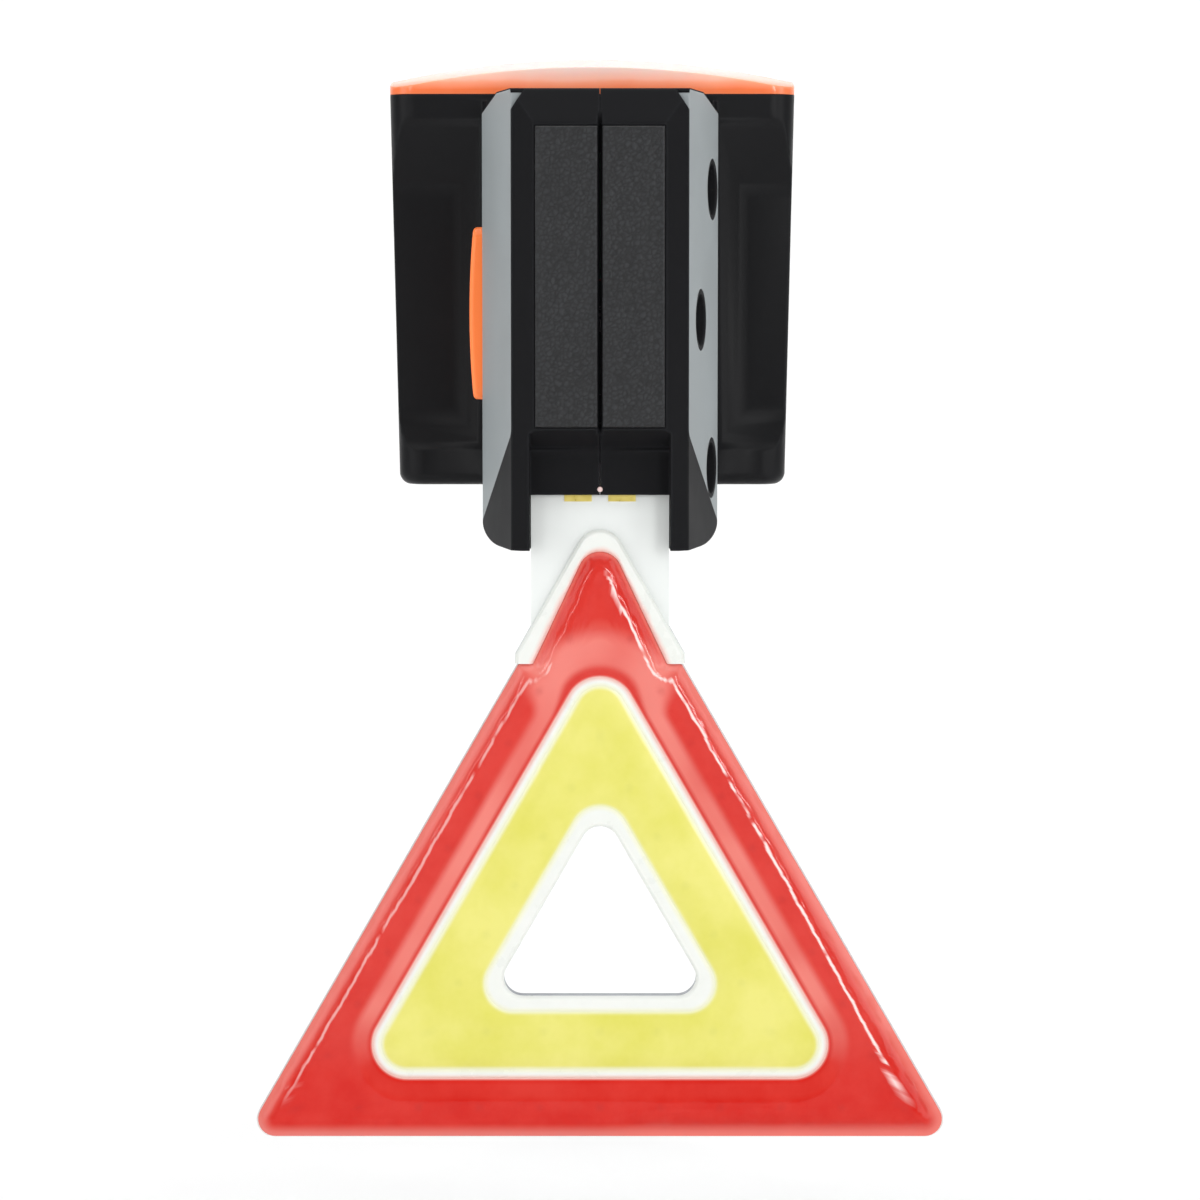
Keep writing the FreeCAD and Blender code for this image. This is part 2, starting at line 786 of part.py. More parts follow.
def arch(grow, y0, y1, low):
    """Rounded point of the red field on the tab: an arc with two straight sides."""
    angle = math.radians(arch_angle)
    radius = arch_radius + grow
    centre = arch_tip - arch_radius
    touch_x = radius * math.cos(angle)
    touch_z = centre + radius * math.sin(angle)
    foot_x = touch_x + (touch_z - low) * math.tan(angle)
    edges = [
        Part.Arc(
            point(touch_x, y0, touch_z), point(0, y0, centre + radius), point(-touch_x, y0, touch_z)
        ).toShape(),
        Part.LineSegment(point(-touch_x, y0, touch_z), point(-foot_x, y0, low)).toShape(),
        Part.LineSegment(point(-foot_x, y0, low), point(foot_x, y0, low)).toShape(),
        Part.LineSegment(point(foot_x, y0, low), point(touch_x, y0, touch_z)).toShape(),
    ]
    return Part.Face(Part.Wire(edges)).extrude(point(0, y1 - y0, 0))


def below_shoulder(y0, y1):
    return box(-60, 60, y0, y1, -120, shoulder_z)


def make_panel_board():
    y0 = board_front
    y1 = board_back
    sheet = triangle(panel_apothem, panel_corner, y0, y1)
    tab = box(-tab_half, tab_half, y0, y1, shoulder_z - 3, tab_top)
    sheet = joined([sheet, tab, shoulders(shoulder_half, y0, y1)])
    return sheet.cut(triangle(hole_apothem, hole_corner, y0 - 1, y1 + 1))


def shoulders(half, y0, y1):
    """Pointed outline that widens from the tab down to the shoulders."""
    point_z = shoulder_top + half / math.tan(math.radians(arch_dam_angle))
    corners = [
        (-half, shoulder_z), (half, shoulder_z), (half, shoulder_top), (0, point_z), (-half, shoulder_top),
    ]
    return prism_y(corners, [0, 0, 0, arch_dam_radius, 0], y0, y1)


def red_field(y0, y1):
    """Area inside the outer edge: the triangle below the shoulders and the arch above them."""
    lower = triangle(panel_apothem - 0.12, panel_corner, y0, y1).common(below_shoulder(y0 - 1, y1 + 1))
    upper = arch(0, y0, y1, shoulder_z - 1.0)
    return joined([lower, upper])


def make_red_gel():
    gel = red_field(board_front - gel_height, board_front)
    gel = gel.cut(triangle(border_apothem, border_corner, board_front - 5, board_front + 1))
    return gel.cut(group(red_chips()))


def make_yellow_gel():
    gel = triangle(yellow_apothem, yellow_corner, board_front - gel_height * 0.8, board_front)
    gel = gel.cut(triangle(hole_dam_apothem, hole_dam_corner, board_front - 5, board_front + 1))
    return gel.cut(group(yellow_chips()))


def make_outer_dam():
    y0 = board_front - dam_height
    outside = shoulders(shoulder_half - 0.08, y0, board_front)
    return outside.cut(arch(0, y0 - 1, board_front + 1, shoulder_z - 5))


def make_middle_dam():
    y0 = board_front - dam_height
    ring = triangle(border_apothem, border_corner, y0, board_front)
    return ring.cut(triangle(yellow_apothem, yellow_corner, y0 - 1, board_front + 1))


def make_hole_dam():
    y0 = board_front - dam_height
    ring = triangle(hole_dam_apothem, hole_dam_corner, y0, board_front)
    return ring.cut(triangle(hole_apothem + 0.1, hole_corner + 0.05, y0 - 1, board_front + 1))


def chips_around(apothem, pitch):
    """Small light chips spread evenly along the three sides of a triangle."""
    corners = triangle_corners(apothem)
    chips = []
    for i in range(3):
        x0, z0 = corners[i]
        x1, z1 = corners[(i + 1) % 3]
        length = math.hypot(x1 - x0, z1 - z0)
        count = round(length / pitch)
        for k in range(count):
            share = k / count
            x = x0 + (x1 - x0) * share
            z = z0 + (z1 - z0) * share
            chips.append(box(x - 0.45, x + 0.45, board_front - 0.25, board_front, z - 0.3, z + 0.3))
    return chips


def yellow_chips():
    return chips_around(10.8, 6.0)


def red_chips():
    return chips_around(19.2, 6.5)


def make_contact_pads():
    pads = []
    for side in (-1, 1):
        x0 = min(side * 0.9, side * 3.9)
        pads.append(box(x0, x0 + 3.0, board_front - 0.1, board_front, pocket_edge - 0.75, tab_top - 0.3))
    return group(pads)


# ---- leads inside -------------------------------------------------------------------------------

def make_panel_wires():
    low_y = board_front + 3.4
    front_y = nose_front + 4.4
    wires = []
    for side, face in ((-1, -0.8), (1, 0.4)):
        x = side * 2.5
        route = [
            (x, low_y, -14.6), (x, low_y, -10.4), (x, front_y, -7.8), (x, front_y, 2.6),
            (face, front_y, 2.6),
        ]
        wires.append(cord_tube(route, 0.5))
    return group(wires)


def make_switch_wires():
    wires = []
    for z in (-4.5, 1.5):
        wires.append(cord_tube([(-0.8, button_y, z), (1.6, button_y, z), (1.6, -18.0, z)], 0.45))
    return group(wires)


def make_battery_wires():
    wires = []
    for x in (-3.0, 3.0):
        route = [(x, -8.0, 13.5), (x, -8.0, 16.6), (x, -13.6, 16.6), (x, -13.6, 15.0)]
        wires.append(cord_tube(route, 0.5))
    return group(wires)


def make_beacon_wires():
    wires = []
    for x in (9.5, 11.5):
        wires.append(cord_tube([(x, -14.2, 10.5), (x, -16.6, 10.5), (x, -16.6, ledge_z)], 0.45))
    return group(wires)


# ---- files --------------------------------------------------------------------------------------

save("head_housing", make_head_housing())
save("back_cover", make_back_cover())
save("back_cover_screws", make_back_cover_screws())
save_grip_part("neck_screws", make_neck_screws())
save("back_magnet", rod((0, -3.0, 0), (0, 1, 0), 10.0, 3.0))
save("lens_amber", make_lens())
save("lens_seal", seal_ring(0.0))
save("reflector", make_reflector())
save("beacon_board", make_beacon_board())
save("beacon_leds", make_beacon_leds())
save("battery_cell", make_battery())
save("battery_cradle", make_battery_cradle())
save("control_board", make_control_board())
save("board_screws", make_board_screws())
save("board_components", make_board_components())
save("charge_socket", make_charge_socket())
save("charge_cover", make_charge_cover())

shell_left, shell_right = make_grip_shells()
save_grip_part("grip_shell_left", shell_left)
save_grip_part("grip_shell_right", shell_right)
plate_left, plate_right = make_side_plates()
save_grip_part("side_plate_left", plate_left)
save_grip_part("side_plate_right", plate_right)
save_grip_part("grip_pad_left", make_pad(-1))
save_grip_part("grip_pad_right", make_pad(1))
save_grip_part("grip_screws", make_grip_screws())
save_grip_part("thumb_button", make_thumb_button())
switch_body, switch_plunger, button_board = make_switch()
save_grip_part("switch_body", switch_body)
save_grip_part("switch_plunger", switch_plunger)
save_grip_part("button_board", button_board)
driver_board, driver_components = make_driver_board()
save_grip_part("driver_board", driver_board)
save_grip_part("driver_components", driver_components)
save_grip_part("panel_socket", make_panel_socket())
save_grip_part("contact_springs", group([contact_spring(-1), contact_spring(1)]))
save_grip_part("indicator_light", make_indicator())

save_grip_part("panel_board", make_panel_board())
save_grip_part("red_gel", make_red_gel())
save_grip_part("yellow_gel", make_yellow_gel())
save_grip_part("outer_dam", make_outer_dam())
save_grip_part("middle_dam", make_middle_dam())
save_grip_part("hole_dam", make_hole_dam())
save_grip_part("led_chips_red", group(red_chips()))
save_grip_part("led_chips_yellow", group(yellow_chips()))
save_grip_part("contact_pads", make_contact_pads())

save_grip_part("panel_wires", make_panel_wires())
save_grip_part("switch_wires", make_switch_wires())
save("battery_wires", make_battery_wires())
save("beacon_wires", make_beacon_wires())
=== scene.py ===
import math

import bmesh
import bpy
from mathutils import Matrix, Vector, noise
from mathutils.kdtree import KDTree


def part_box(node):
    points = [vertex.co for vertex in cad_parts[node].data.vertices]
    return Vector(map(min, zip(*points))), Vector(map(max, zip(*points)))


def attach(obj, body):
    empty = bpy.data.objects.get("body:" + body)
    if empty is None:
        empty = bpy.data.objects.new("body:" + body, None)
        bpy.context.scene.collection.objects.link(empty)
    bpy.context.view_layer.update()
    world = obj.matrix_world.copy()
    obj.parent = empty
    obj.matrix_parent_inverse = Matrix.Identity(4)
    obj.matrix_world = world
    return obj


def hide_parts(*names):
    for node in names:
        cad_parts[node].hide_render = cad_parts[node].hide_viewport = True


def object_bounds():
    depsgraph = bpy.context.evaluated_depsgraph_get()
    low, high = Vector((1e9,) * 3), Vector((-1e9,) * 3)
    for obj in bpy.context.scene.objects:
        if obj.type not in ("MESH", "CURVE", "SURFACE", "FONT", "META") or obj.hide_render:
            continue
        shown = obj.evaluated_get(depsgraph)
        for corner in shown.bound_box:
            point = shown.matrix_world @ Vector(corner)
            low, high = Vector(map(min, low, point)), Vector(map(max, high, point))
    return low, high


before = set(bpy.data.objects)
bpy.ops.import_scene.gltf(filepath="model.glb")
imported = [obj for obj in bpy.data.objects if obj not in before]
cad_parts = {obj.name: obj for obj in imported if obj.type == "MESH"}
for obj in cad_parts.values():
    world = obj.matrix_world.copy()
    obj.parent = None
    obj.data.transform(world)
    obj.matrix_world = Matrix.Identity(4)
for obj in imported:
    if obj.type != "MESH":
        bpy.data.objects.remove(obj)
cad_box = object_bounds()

# ==== Camera ======================================================================================
# A long lens level with the middle of the head, aimed a little down at the middle of the lamp,
# so that the grip, the pocket and the whole warning panel are seen from the front.

mm = 0.001
panel_low, panel_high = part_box("panel_board")
eye_distance = 430 * mm
eye_height = -0.9 * mm
aim = Vector(((panel_low.x + panel_high.x) / 2, panel_low.y, -33.85 * mm))
frame_width = 131.3 * mm

camera_data = bpy.data.cameras.new("camera")
camera = bpy.data.objects.new("camera", camera_data)
bpy.context.scene.collection.objects.link(camera)
camera.location = (aim.x, panel_low.y - eye_distance, eye_height)
sight = aim - camera.location
camera.rotation_euler = sight.to_track_quat("-Z", "Y").to_euler()
camera_data.lens = camera_data.sensor_width * sight.length / frame_width
bpy.context.scene.camera = camera


# ==== Head housing ================================================================================
# The box-shaped body that holds the cell and the boards. Injection-moulded black plastic with a
# fine satin spark finish, dished beside the neck for the fingers, its corners softly rounded.

def add_group(name, inputs, outputs):
    """Empty shader node group with named sockets, and its input and output nodes."""
    group = bpy.data.node_groups.new(name, "ShaderNodeTree")
    for socket_name, kind, value in inputs:
        socket = group.interface.new_socket(socket_name, in_out="INPUT", socket_type=kind)
        if value is not None:
            socket.default_value = value
    for socket_name, kind in outputs:
        group.interface.new_socket(socket_name, in_out="OUTPUT", socket_type=kind)
    return group, group.nodes.new("NodeGroupInput"), group.nodes.new("NodeGroupOutput")


def set_inputs(tree, node, inputs):
    """Sets a node's inputs, given by name or number, from values or sockets."""
    for key, value in inputs.items():
        socket = node.inputs[key]
        if isinstance(value, bpy.types.NodeSocket):
            tree.links.new(value, socket)
        else:
            socket.default_value = (*value, 1.0) if socket.type == "RGBA" else value


def add_node(tree, kind, inputs, **settings):
    """New node with its settings made first and its inputs after them."""
    node = tree.nodes.new(kind)
    for key, value in settings.items():
        setattr(node, key, value)
    set_inputs(tree, node, inputs)
    return node


def add_noise(tree, position, scale, detail=2.0, roughness=0.5, output="Fac"):
    """Noise texture read at a position."""
    inputs = {"Vector": position, "Scale": scale, "Detail": detail, "Roughness": roughness}
    return add_node(tree, "ShaderNodeTexNoise", inputs).outputs[output]


def add_ramp(tree, value, low, high, bottom=0.0, top=1.0):
    """Value mapped from low..high to bottom..top, held within them."""
    inputs = {"Value": value, "From Min": low, "From Max": high, "To Min": bottom, "To Max": top}
    return add_node(tree, "ShaderNodeMapRange", inputs).outputs["Result"]


def add_math(tree, operation, a, b):
    return add_node(tree, "ShaderNodeMath", {0: a, 1: b}, operation=operation).outputs["Value"]


def add_vector_math(tree, operation, inputs):
    return add_node(tree, "ShaderNodeVectorMath", inputs, operation=operation).outputs["Vector"]


def add_mix(tree, share, colour_a, colour_b):
    """Colour between two colours; each is a tuple or a socket."""
    inputs = {"Factor": share, 6: colour_a, 7: colour_b}
    return add_node(tree, "ShaderNodeMix", inputs, data_type="RGBA").outputs[2]


def add_object(name, data):
    """New object in the scene."""
    made = bpy.data.objects.new(name, data)
    bpy.context.scene.collection.objects.link(made)
    return made


# Spark-eroded mould finish: a fine pebble for bump, and broad faint patches where hands and
# mould release leave the gloss uneven.
mould_finish, mould_in, mould_out = add_group(
    "mould_finish",
    [("Position", "NodeSocketVector", None), ("Pebble Scale", "NodeSocketFloat", 3500.0),
     ("Patch Scale", "NodeSocketFloat", 90.0)],
    [("Pebble", "NodeSocketFloat"), ("Patches", "NodeSocketFloat")],
)
fine = add_noise(mould_finish, mould_in.outputs["Position"], mould_in.outputs["Pebble Scale"], 3.0, 0.6)
broad = add_noise(mould_finish, mould_in.outputs["Position"], mould_in.outputs["Patch Scale"], 4.0, 0.55)
mould_finish.links.new(fine, mould_out.inputs["Pebble"])
mould_finish.links.new(add_ramp(mould_finish, broad, 0.3, 0.7), mould_out.inputs["Patches"])

# Rubbed edges: how far the surface turns within a small distance.
edge_rub, rub_in, rub_out = add_group(
    "edge_rub", [("Amount", "NodeSocketFloat", 1.0)], [("Edge", "NodeSocketFloat")]
)
rounded = add_node(edge_rub, "ShaderNodeBevel", {"Radius": 0.45 * mm}, samples=4)
surface = edge_rub.nodes.new("ShaderNodeNewGeometry")
normals = {0: rounded.outputs["Normal"], 1: surface.outputs["Normal"]}
turn = add_node(edge_rub, "ShaderNodeVectorMath", normals, operation="DOT_PRODUCT")
turned = add_ramp(edge_rub, turn.outputs["Value"], 0.985, 0.9, 0.0, 1.0)
rubbed = add_math(edge_rub, "MULTIPLY", turned, rub_in.outputs["Amount"])
edge_rub.links.new(rubbed, rub_out.inputs["Edge"])


def add_material(name, **values):
    """New material with a Principled shader whose constant sockets are set by name."""
    material = bpy.data.materials.new(name)
    material.use_nodes = True
    shader = material.node_tree.nodes["Principled BSDF"]
    set_inputs(material.node_tree, shader, {key.replace("_", " "): v for key, v in values.items()})
    return material, material.node_tree, shader


def add_position(tree):
    return tree.nodes.new("ShaderNodeTexCoord").outputs["Object"]


def place_group(tree, group, **values):
    """Group node in a material's tree with its inputs set from numbers or sockets."""
    inputs = {key.replace("_", " "): value for key, value in values.items()}
    return add_node(tree, "ShaderNodeGroup", inputs, node_tree=group)


def add_bump(tree, shader, height, strength, distance, rounding=None):
    """Bump into the shader's normal; rounding also softens sharp edges within that distance."""
    inputs = {"Strength": strength, "Distance": distance, "Height": height}
    if rounding is not None:
        bevel = add_node(tree, "ShaderNodeBevel", {"Radius": rounding}, samples=6)
        inputs["Normal"] = bevel.outputs["Normal"]
    bump = add_node(tree, "ShaderNodeBump", inputs)
    tree.links.new(bump.outputs["Normal"], shader.inputs["Normal"])


def moulded_plastic(
    name, colour, worn, gloss, pebble_scale, pebble_height, edge_amount, rounding=0.25 * mm, shine=0.5
):
    """Moulded plastic: pebbled surface, uneven gloss, edges a little paler where they rub."""
    material, tree, shader = add_material(name, Specular_IOR_Level=shine)
    finish = place_group(tree, mould_finish, Position=add_position(tree), Pebble_Scale=pebble_scale)
    edges = place_group(tree, edge_rub, Amount=edge_amount)
    mottled = add_mix(tree, finish.outputs["Patches"], colour, tuple(c * 1.12 for c in colour))
    tree.links.new(add_mix(tree, edges.outputs["Edge"], mottled, worn), shader.inputs["Base Color"])
    rough = add_ramp(tree, finish.outputs["Patches"], 0.0, 1.0, gloss - 0.035, gloss + 0.035)
    tree.links.new(rough, shader.inputs["Roughness"])
    add_bump(tree, shader, finish.outputs["Pebble"], 0.5, pebble_height, rounding)
    return material


def paint(node, material):
    """Gives a CAD node's own mesh a finished material."""
    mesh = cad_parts[node].data
    mesh.materials.clear()
    mesh.materials.append(material)


def applied(piece):
    """Turns a piece with live modifiers into a plain mesh object."""
    bpy.context.view_layer.update()
    graph = bpy.context.evaluated_depsgraph_get()
    mesh = bpy.data.meshes.new_from_object(piece.evaluated_get(graph))
    piece.modifiers.clear()
    piece.data = mesh
    return mesh


def softened(node, body, material, width=0.0, segments=2, crease=35):
    """Merged copy of a CAD node with smooth curves and, where width is given, rounded edges."""
    shape = bmesh.new()
    shape.from_mesh(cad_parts[node].data)
    bmesh.ops.remove_doubles(shape, verts=shape.verts, dist=0.002 * mm)
    bmesh.ops.dissolve_limit(
        shape, angle_limit=math.radians(0.3), verts=shape.verts, edges=shape.edges,
        use_dissolve_boundaries=False,
    )
    mesh = bpy.data.meshes.new(node + "_finished")
    shape.to_mesh(mesh)
    shape.free()
    piece = add_object(node + "_finished", mesh)
    mesh.materials.append(material)
    if width:
        bevel = piece.modifiers.new("edges", "BEVEL")
        bevel.width = width
        bevel.segments = segments
        bevel.limit_method = "ANGLE"
        bevel.angle_limit = math.radians(28)
        bevel.use_clamp_overlap = True
        mesh = applied(piece)
    mesh.shade_smooth()
    mesh.set_sharp_from_angle(angle=math.radians(crease))
    weigh = piece.modifiers.new("normals", "WEIGHTED_NORMAL")
    weigh.keep_sharp = True
    weigh.weight = 80
    applied(piece)
    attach(piece, body)
    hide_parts(node)
    return piece


black_plastic = moulded_plastic(
    "black_plastic", (0.0062, 0.0064, 0.0075), (0.022, 0.023, 0.026), 0.4, 5200.0, 0.012 * mm, 0.5,
    0.35 * mm, 0.15,
)
softened("head_housing", "lamp", black_plastic)


# ==== Back cover, its screws and the magnet =======================================================
# A plain moulded plate held by four countersunk screws, with a nickel-plated disc magnet glued
# into the middle, flush with the plate.

softened("back_cover", "lamp", black_plastic)

nickel, tree, shader = add_material("nickel", Base_Color=(0.62, 0.61, 0.6), Metallic=1.0)
lathe = add_node(
    tree, "ShaderNodeTexWave", {"Scale": 900.0, "Distortion": 0.4, "Vector": add_position(tree)},
    wave_type="RINGS", rings_direction="Y",
)
tree.links.new(add_ramp(tree, lathe.outputs["Fac"], 0.0, 1.0, 0.16, 0.26), shader.inputs["Roughness"])
paint("back_magnet", nickel)

steel, tree, shader = add_material("zinc_steel", Base_Color=(0.56, 0.56, 0.55), Metallic=1.0)
scuff = add_noise(tree, add_position(tree), 2600.0, 3.0)
tree.links.new(add_ramp(tree, scuff, 0.3, 0.7, 0.22, 0.38), shader.inputs["Roughness"])
add_bump(tree, shader, scuff, 0.3, 0.01 * mm)
for node in ("back_cover_screws", "neck_screws", "board_screws", "charge_socket", "grip_screws"):
    paint(node, steel)


# ==== Amber lens and the beacon under it ==========================================================
# A translucent amber dome over the whole top of the head, moulded clear with colour in the resin:
# deep orange in the thick rim. The paling by height towards pale pink at the top is a painted highlight,
# and the emission is a painted glow.

lens_low, lens_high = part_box("lens_amber")
# painted glow: the lens is given an emission of its own
amber, tree, shader = add_material(
    "amber_lens", Roughness=0.2, IOR=1.49, Transmission_Weight=0.1, Emission_Strength=0.26,
    Subsurface_Weight=0.35, Subsurface_Radius=(0.9, 0.4, 0.2), Subsurface_Scale=3.0 * mm,
)
split = add_node(tree, "ShaderNodeSeparateXYZ", {"Vector": add_position(tree)})
height = add_ramp(tree, split.outputs["Z"], lens_low.z + 0.5 * mm, lens_high.z - 1.2 * mm)
cloud = add_noise(tree, add_position(tree), 160.0, 3.0)
lifted = add_math(tree, "ADD", height, add_ramp(tree, cloud, 0.3, 0.7, -0.05, 0.05))
deep = add_mix(tree, add_ramp(tree, lifted, 0.0, 0.45), (0.8, 0.18, 0.06), (0.9, 0.42, 0.28))
# painted highlight: towards the top the colour pales to pink, and the emission with it
painted_crown_highlight = add_ramp(tree, lifted, 0.3, 0.85)
tree.links.new(add_mix(tree, painted_crown_highlight, deep, (0.94, 0.76, 0.72)), shader.inputs["Base Color"])
tree.links.new(add_mix(tree, painted_crown_highlight, deep, (0.4, 0.2, 0.16)), shader.inputs["Emission Color"])
softened("lens_amber", "lamp", amber, 0.6 * mm, 4)

rubber, tree, shader = add_material("black_rubber", Base_Color=(0.012, 0.012, 0.012))
speck = add_noise(tree, add_position(tree), 4200.0, 2.0)
tree.links.new(add_ramp(tree, speck, 0.3, 0.7, 0.62, 0.78), shader.inputs["Roughness"])
add_bump(tree, shader, speck, 0.4, 0.02 * mm)
paint("lens_seal", rubber)

silver, tree, shader = add_material("metallised_tray", Base_Color=(0.82, 0.82, 0.83), Metallic=1.0)
ripple = add_noise(tree, add_position(tree), 500.0, 2.0)
tree.links.new(add_ramp(tree, ripple, 0.3, 0.7, 0.12, 0.24), shader.inputs["Roughness"])
paint("reflector", silver)

board_green, tree, shader = add_material("circuit_board", Coat_Weight=0.4, Coat_Roughness=0.2)
tracks = add_node(tree, "ShaderNodeTexBrick", {
    "Vector": add_position(tree), "Scale": 260.0, "Color1": (0.012, 0.09, 0.035),
    "Color2": (0.014, 0.11, 0.042), "Mortar": (0.03, 0.2, 0.08),
})
tree.links.new(tracks.outputs["Color"], shader.inputs["Base Color"])
tree.links.new(add_ramp(tree, tracks.outputs["Fac"], 0.0, 1.0, 0.35, 0.5), shader.inputs["Roughness"])
for node in ("beacon_board", "control_board", "button_board", "driver_board"):
    paint(node, board_green)

led_resin, tree, shader = add_material(
    "led_resin", Roughness=0.12, Transmission_Weight=0.3, IOR=1.45
)
glow = add_noise(tree, add_position(tree), 900.0, 1.0)
tree.links.new(add_mix(tree, glow, (0.9, 0.62, 0.2), (0.95, 0.75, 0.3)), shader.inputs["Base Color"])
paint("beacon_leds", led_resin)


# ==== Cell, cradle, boards and leads ==============================================================
# A wrapped lithium cell in a moulded cradle, the control board screwed to the cradle, and the
# insulated leads that join the boards. None of it shows with the lamp closed.

cell_wrap, tree, shader = add_material("cell_wrap", Coat_Weight=0.5, Coat_Roughness=0.1)
wrinkle = add_noise(tree, add_position(tree), 420.0, 4.0)
tree.links.new(add_mix(tree, wrinkle, (0.02, 0.07, 0.26), (0.03, 0.1, 0.34)), shader.inputs["Base Color"])
tree.links.new(add_ramp(tree, wrinkle, 0.3, 0.7, 0.25, 0.4), shader.inputs["Roughness"])
add_bump(tree, shader, wrinkle, 0.4, 0.05 * mm)
paint("battery_cell", cell_wrap)

inner_plastic = moulded_plastic(
    "inner_plastic", (0.03, 0.03, 0.032), (0.05, 0.05, 0.05), 0.5, 2600.0, 0.02 * mm, 0.3
)
for node in ("battery_cradle", "switch_plunger", "panel_socket"):
    paint(node, inner_plastic)

chip_black = moulded_plastic(
    "chip_black", (0.018, 0.018, 0.019), (0.04, 0.04, 0.04), 0.55, 3800.0, 0.01 * mm, 0.4
)
for node in ("board_components", "driver_components", "switch_body"):
    paint(node, chip_black)

lead_red, tree, shader = add_material("lead_insulation")
print_wear = add_noise(tree, add_position(tree), 700.0, 2.0)
sleeve = add_mix(tree, print_wear, (0.45, 0.02, 0.015), (0.55, 0.035, 0.025))
tree.links.new(sleeve, shader.inputs["Base Color"])
tree.links.new(add_ramp(tree, print_wear, 0.3, 0.7, 0.38, 0.5), shader.inputs["Roughness"])
for node in ("panel_wires", "switch_wires", "battery_wires", "beacon_wires"):
    paint(node, lead_red)


# ==== Charging flap ===============================================================================
# A one-piece black rubber flap pressed into its seat in the head's underside over the socket.

softened("charge_cover", "charge_cover", rubber, 0.2 * mm)


# ==== Grip shells =================================================================================
# Two mirrored half shells of black plastic, more matt than the head and screwed together from the
# right.

matt_black = moulded_plastic(
    "matt_black", (0.0062, 0.0064, 0.0075), (0.022, 0.023, 0.026), 0.6, 5200.0, 0.012 * mm, 0.5,
    0.35 * mm, 0.1,
)
for side in ("left", "right"):
    softened("grip_shell_" + side, "lamp", matt_black, crease=14)


# ==== Side plates =================================================================================
# Thin grey trim plates with a fine texture, let into the grip's flanks. The right one has the
# three screw holes.

grey_plastic = moulded_plastic(
    "grey_plastic", (0.265, 0.295, 0.305), (0.4, 0.43, 0.44), 0.5, 3000.0, 0.03 * mm, 0.6
)
for side in ("left", "right"):
    softened("side_plate_" + side, "lamp", grey_plastic)


# ==== Grip pads ===================================================================================
# Two soft-touch inlays with a moulded leather grain, one on each half, let into the grip's front
# and standing slightly proud of it.

pad_step = 0.12 * mm
pad_curl = 0.2 * mm
pebble_size = 0.52 * mm
grain_depth = 0.085 * mm
rim_fade_width = 0.9 * mm
top_fade_width = 2.5 * mm

pad_plastic, tree, shader = add_material("leather_grain_pad", Specular_IOR_Level=0.38)
place = add_position(tree)
finish = place_group(tree, mould_finish, Position=place, Pebble_Scale=7000.0, Patch_Scale=300.0)
# painted shade: the grooves between the grain's pebbles are coloured far darker than the pebbles
groove_shade = tree.nodes.new("ShaderNodeAttribute")
groove_shade.attribute_name = "grain"
tone = add_mix(tree, finish.outputs["Patches"], (0.016, 0.017, 0.0195), (0.023, 0.0245, 0.0275))
grained = add_mix(tree, groove_shade.outputs["Fac"], (0.006, 0.0063, 0.007), tone)
tree.links.new(grained, shader.inputs["Base Color"])
tree.links.new(add_ramp(tree, finish.outputs["Patches"], 0.0, 1.0, 0.38, 0.5), shader.inputs["Roughness"])
add_bump(tree, shader, finish.outputs["Pebble"], 0.8, 0.05 * mm)


def add_geometry_tree(name, sockets):
    """Geometry nodes with a mesh going in and out, the named inputs, and their identifiers."""
    tree = bpy.data.node_groups.new(name, "GeometryNodeTree")
    face = tree.interface
    face.new_socket("Geometry", in_out="INPUT", socket_type="NodeSocketGeometry")
    keys = [face.new_socket(key, in_out="INPUT", socket_type=kind).identifier for key, kind in sockets]
    face.new_socket("Geometry", in_out="OUTPUT", socket_type="NodeSocketGeometry")
    return tree, tree.nodes.new("NodeGroupInput").outputs, keys


def finish_geometry(tree, geometry, look):
    """Makes instances real, gives the mesh its material and puts it out."""
    real = add_node(tree, "GeometryNodeRealizeInstances", {"Geometry": geometry})
    dressed = add_node(
        tree, "GeometryNodeSetMaterial", {"Geometry": real.outputs["Geometry"], "Material": look}
    )
    add_node(tree, "NodeGroupOutput", {"Geometry": dressed.outputs["Geometry"]})


def leather_tree():
    """Geometry nodes that press a leather grain into a pad's face, fading out at its rim."""
    tree, start, keys = add_geometry_tree("leather_grain", [
        ("Pebble Size", "NodeSocketFloat"), ("Grain Depth", "NodeSocketFloat"),
        ("Finish", "NodeSocketMaterial"),
    ])
    inverse = add_math(tree, "DIVIDE", 1.0, start["Pebble Size"])
    position = tree.nodes.new("GeometryNodeInputPosition").outputs["Position"]
    spot = add_vector_math(tree, "SCALE", {0: position, "Scale": inverse})
    warp = add_noise(tree, spot, 0.7, output="Color")
    bent = add_vector_math(tree, "MULTIPLY_ADD", {0: warp, 1: (1.6, 0.0, 1.6), 2: spot})
    cells = add_node(
        tree, "ShaderNodeTexVoronoi", {"Vector": bent, "Scale": 1.0, "Randomness": 1.0},
        feature="DISTANCE_TO_EDGE",
    )
    pebble = add_ramp(tree, cells.outputs["Distance"], 0.0, 0.3)
    uneven = add_ramp(tree, add_noise(tree, spot, 0.28), 0.3, 0.7, -0.5, 0.3)
    height = add_math(tree, "ADD", pebble, uneven)
    fade = add_node(tree, "GeometryNodeInputNamedAttribute", {"Name": "fade"}, data_type="FLOAT")
    sunk = add_math(tree, "MULTIPLY", add_math(tree, "SUBTRACT", 1.0, height), fade.outputs["Attribute"])
    depth = add_math(tree, "MULTIPLY", sunk, start["Grain Depth"])
    push = add_node(tree, "ShaderNodeCombineXYZ", {"Y": depth})
    moved = add_node(
        tree, "GeometryNodeSetPosition", {"Geometry": start["Geometry"], "Offset": push.outputs["Vector"]}
    )
    kept = add_node(
        tree, "GeometryNodeStoreNamedAttribute",
        {"Geometry": moved.outputs["Geometry"], "Name": "grain", "Value": pebble},
        data_type="FLOAT", domain="POINT",
    )
    finish_geometry(tree, kept.outputs["Geometry"], start["Finish"])
    return tree, keys


leather, leather_inputs = leather_tree()


